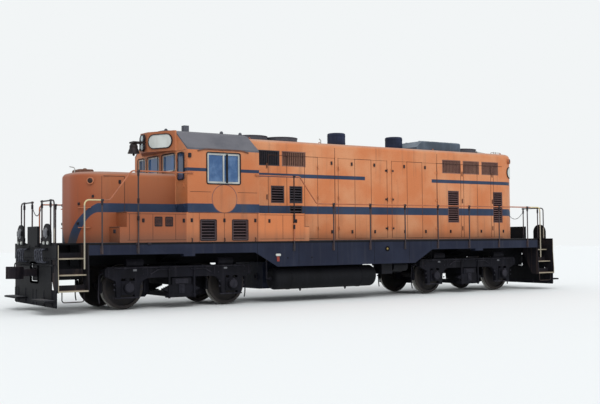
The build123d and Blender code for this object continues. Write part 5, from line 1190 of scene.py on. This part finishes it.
# Trucks, in each truck's own run: journal lids, tie bars, bolts, sanders, ribs, pipes, spring bands and plates
truckGear = {"axle": 1.3715, "face": 1.105, "capY": 1.205, "lidBolts": 0.092, "tieZ": 0.254,
             "lid": ((0.108, 0.0), (0.108, 0.010), (0.085, 0.020), (0.05, 0.026), (0.018, 0.028)),
             "frameBolts": ((0.52, 0.93), (0.66, 0.93), (1.00, 0.93), (1.74, 0.93), (1.74, 0.80), (1.00, 0.80),
                            (0.16, 0.93)),
             "pedestalBolts": ((1.03, 0.58), (1.03, 0.46), (1.71, 0.58), (1.71, 0.46)), "ribs": (0.88, 1.86),
             "sander": ((1.945, 0.93, 0.86), (1.945, 0.76, 0.80), (1.955, 0.76, 0.30), (1.930, 0.76, 0.17)),
             "sanderTop": ((1.945, 0.93, 0.86), (1.895, 1.0, 0.86)),
             "armPipe": ((0.25, 0.905), (0.62, 0.905), (0.80, 0.80)), "topPipe": (1.72, 0.955),
             "pipeClips": (0.55, 1.45), "plates": (1.20, 0.90), "tie": (0.62, 0.10, 0.028), "ribZ": 0.86,
             "band": (0.15, 0.225, 0.016), "bandZ": 0.430, "bandBolts": (0.36, 0.50),
             "shield": (0.34, 0.11, 0.010), "shieldZ": 0.612, "shieldBolt": 0.13, "ear": (0.05, 0.09, 0.018),
             "rib": (0.018, 0.20, 0.014), "pipeClip": (0.05, 0.055, 0.034), "plate": (0.09, 0.045, 0.004),
             "bolt": (0.016, 0.010, 0.009, 0.015), "bigBolt": (0.024, 0.012, 0.012, 0.018)}


def truckFittings(body):
    middle, face, capY = truckPlaces[body], truckGear["face"], truckGear["capY"]
    bolt, big = boltHead(*truckGear["bolt"]), boltHead(*truckGear["bigBolt"])
    wheelZ = axleHeight - railTop

    def place(shape, x, z, y=face):
        return moved(shape, (middle + x, y, z + railTop))

    shapes = []
    for s in (-1, 1):
        axle = s * truckGear["axle"]
        shapes.append(place(lathe(truckGear["lid"], 24), axle, wheelZ, capY))
        shapes.append(place(plate(truckGear["ear"], 0.012, 0.005), axle, wheelZ + 0.09, capY))
        for turn in turns(4) + math.pi / 4:
            reach = truckGear["lidBolts"]
            shapes.append(place(bolt, axle + reach * math.cos(turn), wheelZ + reach * math.sin(turn), capY + 0.008))
        tie = plate(truckGear["tie"], 0.02, 0.006)
        shapes.append(onTop(tie, middle + axle, face - 0.06, truckGear["tieZ"] + railTop))
        for kind, head in (("frameBolts", bolt), ("pedestalBolts", big)):
            shapes += [place(head, s * x, z) for x, z in truckGear[kind]]
        for line, radius, bend in (("sander", 0.016, 0.06), ("sanderTop", 0.022, 0)):
            shapes.append(bar([(middle + s * x, y, z) for x, y, z in truckGear[line]], radius, bend))
        rib = plate(truckGear["rib"], 0.006, 0.004)
        shapes += [place(rib, s * x, truckGear["ribZ"]) for x in truckGear["ribs"]]
        line = [(middle + s * x, face + 0.016, z + railTop) for x, z in truckGear["armPipe"]]
        shapes.append(bar(line, 0.013, 0.06))
    shapes.append(place(plate(truckGear["band"], 0.012, 0.005), 0.0, truckGear["bandZ"]))
    shapes += [place(big, 0.0, z, face + 0.016) for z in truckGear["bandBolts"]]
    z = truckGear["shieldZ"]
    shapes.append(place(plate(truckGear["shield"], 0.02, 0.004), 0.0, z, face + 0.015))
    shapes += [place(bolt, s * truckGear["shieldBolt"], z, face + 0.024) for s in (-1, 1)]
    reach, height = truckGear["topPipe"]
    shapes.append(rod(*[(middle + s * reach, face + 0.018, height + railTop) for s in (-1, 1)], 0.013))
    clip = plate(truckGear["pipeClip"], 0.010, 0.005)
    shapes += [place(clip, s * x, height, face - 0.001) for s in (-1, 1) for x in truckGear["pipeClips"]]
    makeSides(body + "_fittings", shapes, "truckFitting", body)
    x, z = truckGear["plates"]
    pale = [place(plate(truckGear["plate"], 0.006, 0.001), s * x, z) for s in (-1, 1)]
    makeSides(body + "_plates", pale, "greyDark", body)


# Under the frame: the reservoirs' plugs, pipes and drain cocks, and the tank's plug and drain
underGear = {"drum": (1.08, 0.59 + railTop), "cocks": 0.9, "tankPlug": (0.35, 0.62), "tankDrain": (0.4, 0.3),
             "plug": ((0.050, -0.010), (0.050, 0.020), (0.030, 0.026), (0.030, 0.060), (0.012, 0.064)),
             "cock": ((0.020, -0.055), (0.020, -0.03), (0.030, -0.025), (0.030, 0.01)),
             "drain": ((0.05, -0.03), (0.05, 0.002)),
             "cover": ((0.05, -0.002), (0.10, 0.0), (0.10, 0.012), (0.05, 0.016))}


def underFittings():
    low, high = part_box("air_reservoirs")
    y, z = underGear["drum"]
    plug = lathe(underGear["plug"], 14)
    shapes = [moved(plug, (x, y, z), yWay, zWay, (s, 0, 0)) for x, s in ((low.x, -1), (high.x, 1))]
    shapes.append(bar([(low.x - 0.05, y, z), (low.x - 0.10, y, z), (low.x - 0.10, y, z + 0.35),
                       (low.x - 0.17, y - 0.02, z + 0.35)], 0.018, 0.06))
    shapes.append(bar([(high.x + 0.05, y, z), (high.x + 0.12, y, z), (high.x + 0.12, y, 1.52)], 0.018, 0.06))
    cock = lathe(underGear["cock"], 12)
    shapes += [onTop(cock, x, y, z - 0.285) for x in (low.x + underGear["cocks"], high.x - underGear["cocks"])]
    tankLow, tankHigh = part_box("fuel_tank")
    dx, drainY = underGear["tankDrain"]
    shapes.append(onTop(lathe(underGear["drain"], 14), tankLow.x + dx, drainY, tankLow.z))
    shapes.append(onFront(collar(underGear["cover"], 18), *underGear["tankPlug"], tankHigh.x))
    makeSides("reservoir_pipes", shapes, "truckFitting")


# Cab seats: a crowned cushion and back over a post, in place of the plain ones
seatGear = {"height": 0.52, "inset": 0.22, "cushion": (0.215, 0.215, 0.055), "back": (0.045, 0.205), "arms": 0.12,
            "post": ((0.16, 0.0), (0.16, 0.012), (0.13, 0.022), (0.05, 0.03), (0.045, 0.40), (0.09, 0.425),
                     (0.16, 0.43))}


def soft(value, power):
    return np.sign(value) * np.abs(value) ** power


def cushion(centre, half, power=0.45, around=28, rows=15):
    # A superellipsoid: half * sign(c) |c|^power of each turn's cosine and sine, so its sides bulge.
    a, b = turns(around)[None, :], np.linspace(-math.pi / 2, math.pi / 2, rows + 2)[1:-1][:, None]
    x, y = [half[i] * soft(np.cos(b), power) * soft(wave(a), power) for i, wave in enumerate((np.cos, np.sin))]
    z = half[2] * soft(np.sin(b), power * 1.5) * np.ones_like(a)
    return tower(np.stack([x, y, z], -1) + np.array(centre))


def seatFittings():
    low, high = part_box("cab_seats")
    foot, top, back = low.z, high.z, low.x
    seatTop = foot + seatGear["height"]
    x, y = high.x - seatGear["inset"], high.y - seatGear["inset"]
    deep, half = seatGear["back"]
    parts = {"seat": cushion((x, y, seatTop - 0.045), seatGear["cushion"]),
             "back": cushion((back + deep, y, (seatTop + top) / 2 + 0.02), (deep, half, (top - seatTop) / 2 - 0.02))}
    posts = [onTop(lathe(seatGear["post"], 24), x, y, foot)]
    for side in (y - seatGear["arms"], y + seatGear["arms"]):
        posts.append(bar([(x, side, foot + 0.435), (back + 0.03, side, foot + 0.435), (back + 0.01, side, top - 0.12)],
                         0.013, 0.05))
    for name in ("left", "right"):
        for part, shape in parts.items():
            shapes = [shape] if name == "left" else flipped([shape], 1)
            made = make("cushion_%s_%s" % (part, name), shapes, "vinyl")
            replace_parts(made, "cab_seats")
    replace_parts(makeSides("seat_posts", posts, "greyMetal"), "cab_seats")


# Control stand: plain dials, and three handles of different reach
standGear = {"dial": ((0.036, 0.0), (0.036, 0.014), (0.030, 0.016)), "dials": 4, "dialStep": 0.085,
             "dialDrop": 0.06, "reaches": (0.13, 0.10, 0.09), "handleZ": 0.86,
             "knob": ((0.010, -0.02), (0.022, -0.01), (0.022, 0.012), (0.010, 0.022))}


def standFittings():
    low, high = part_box("control_stand")
    middle = (low.y + high.y) / 2

    def facingSeat(shape, x, y, z):
        return moved(shape, (x, y, z), yWay, zWay, (-1, 0, 0))

    dial = lathe(standGear["dial"], 18)
    dials = [facingSeat(dial, low.x + 0.006, middle + (i - 1.5) * standGear["dialStep"], high.z - standGear["dialDrop"])
             for i in range(standGear["dials"])]
    handles = []
    for i, reach in enumerate(standGear["reaches"]):
        y, z = middle + 0.05 * (i - 1), low.z + standGear["handleZ"] + i * 0.10
        handles.append(rod((low.x + 0.02, y, z), (low.x - reach, y, z + 0.02), 0.010))
        handles.append(facingSeat(lathe(standGear["knob"], 12), low.x - reach, y, z + 0.02))
    make("stand_dials", dials, "boardCream")
    make("stand_handles", handles, "fitting")


for fit in (stepFittings, railFittings, endFittings, roofFittings, stackFittings):
    fit()
for body in truckPlaces:
    truckFittings(body)
for fit in (underFittings, seatFittings, standFittings):
    fit()
print("gear fitted")


# Floor, backdrop and light: what the camera, a reflection or glass sees of the world is at full strength
studio = {"floor": "e9ebec", "floorHalf": 120.0, "world": "f2f5f6", "worldLight": 0.92, "sunLight": 1.35,
          "sunTurn": (0.80, 0.12, 2.75), "sunSoft": 40.0}


def addStudio():
    half = studio["floorHalf"]
    mesh = bpy.data.meshes.new("floor")
    mesh.from_pydata([(-half, -half, 0), (half, -half, 0), (half, half, 0), (-half, half, 0)], [], [(0, 1, 2, 3)])
    paint = Paint("floorPale", Roughness=0.9, Specular_IOR_Level=0.1, Base_Color=tone(studio["floor"]))
    mesh.materials.append(paint.material)
    floor = bpy.data.objects.new("floor", mesh)
    scene.collection.objects.link(floor)
    world = bpy.data.worlds.new("studio")
    world.use_nodes = True
    scene.world = world
    sky = Graph(world.node_tree)
    kinds = ("Camera", "Glossy", "Transmission")
    rays = [sky.node("ShaderNodeLightPath", {}, {}, "Is %s Ray" % kind) for kind in kinds]
    seen = rays[0].by("MAXIMUM", rays[1]).by("MAXIMUM", rays[2])
    level = sky.node("ShaderNodeMapRange", {}, {"Value": seen, "To Min": studio["worldLight"], "To Max": 1.0})
    back = sky.tree.nodes["Background"]
    back.inputs["Color"].default_value = tone(studio["world"])
    sky.tree.links.new(level.socket, back.inputs["Strength"])
    data = bpy.data.lights.new("sun", "SUN")
    data.energy, data.angle = studio["sunLight"], math.radians(studio["sunSoft"])
    sun = bpy.data.objects.new("sun", data)
    sun.rotation_euler = studio["sunTurn"]
    scene.collection.objects.link(sun)


addStudio()
print("studio lit")
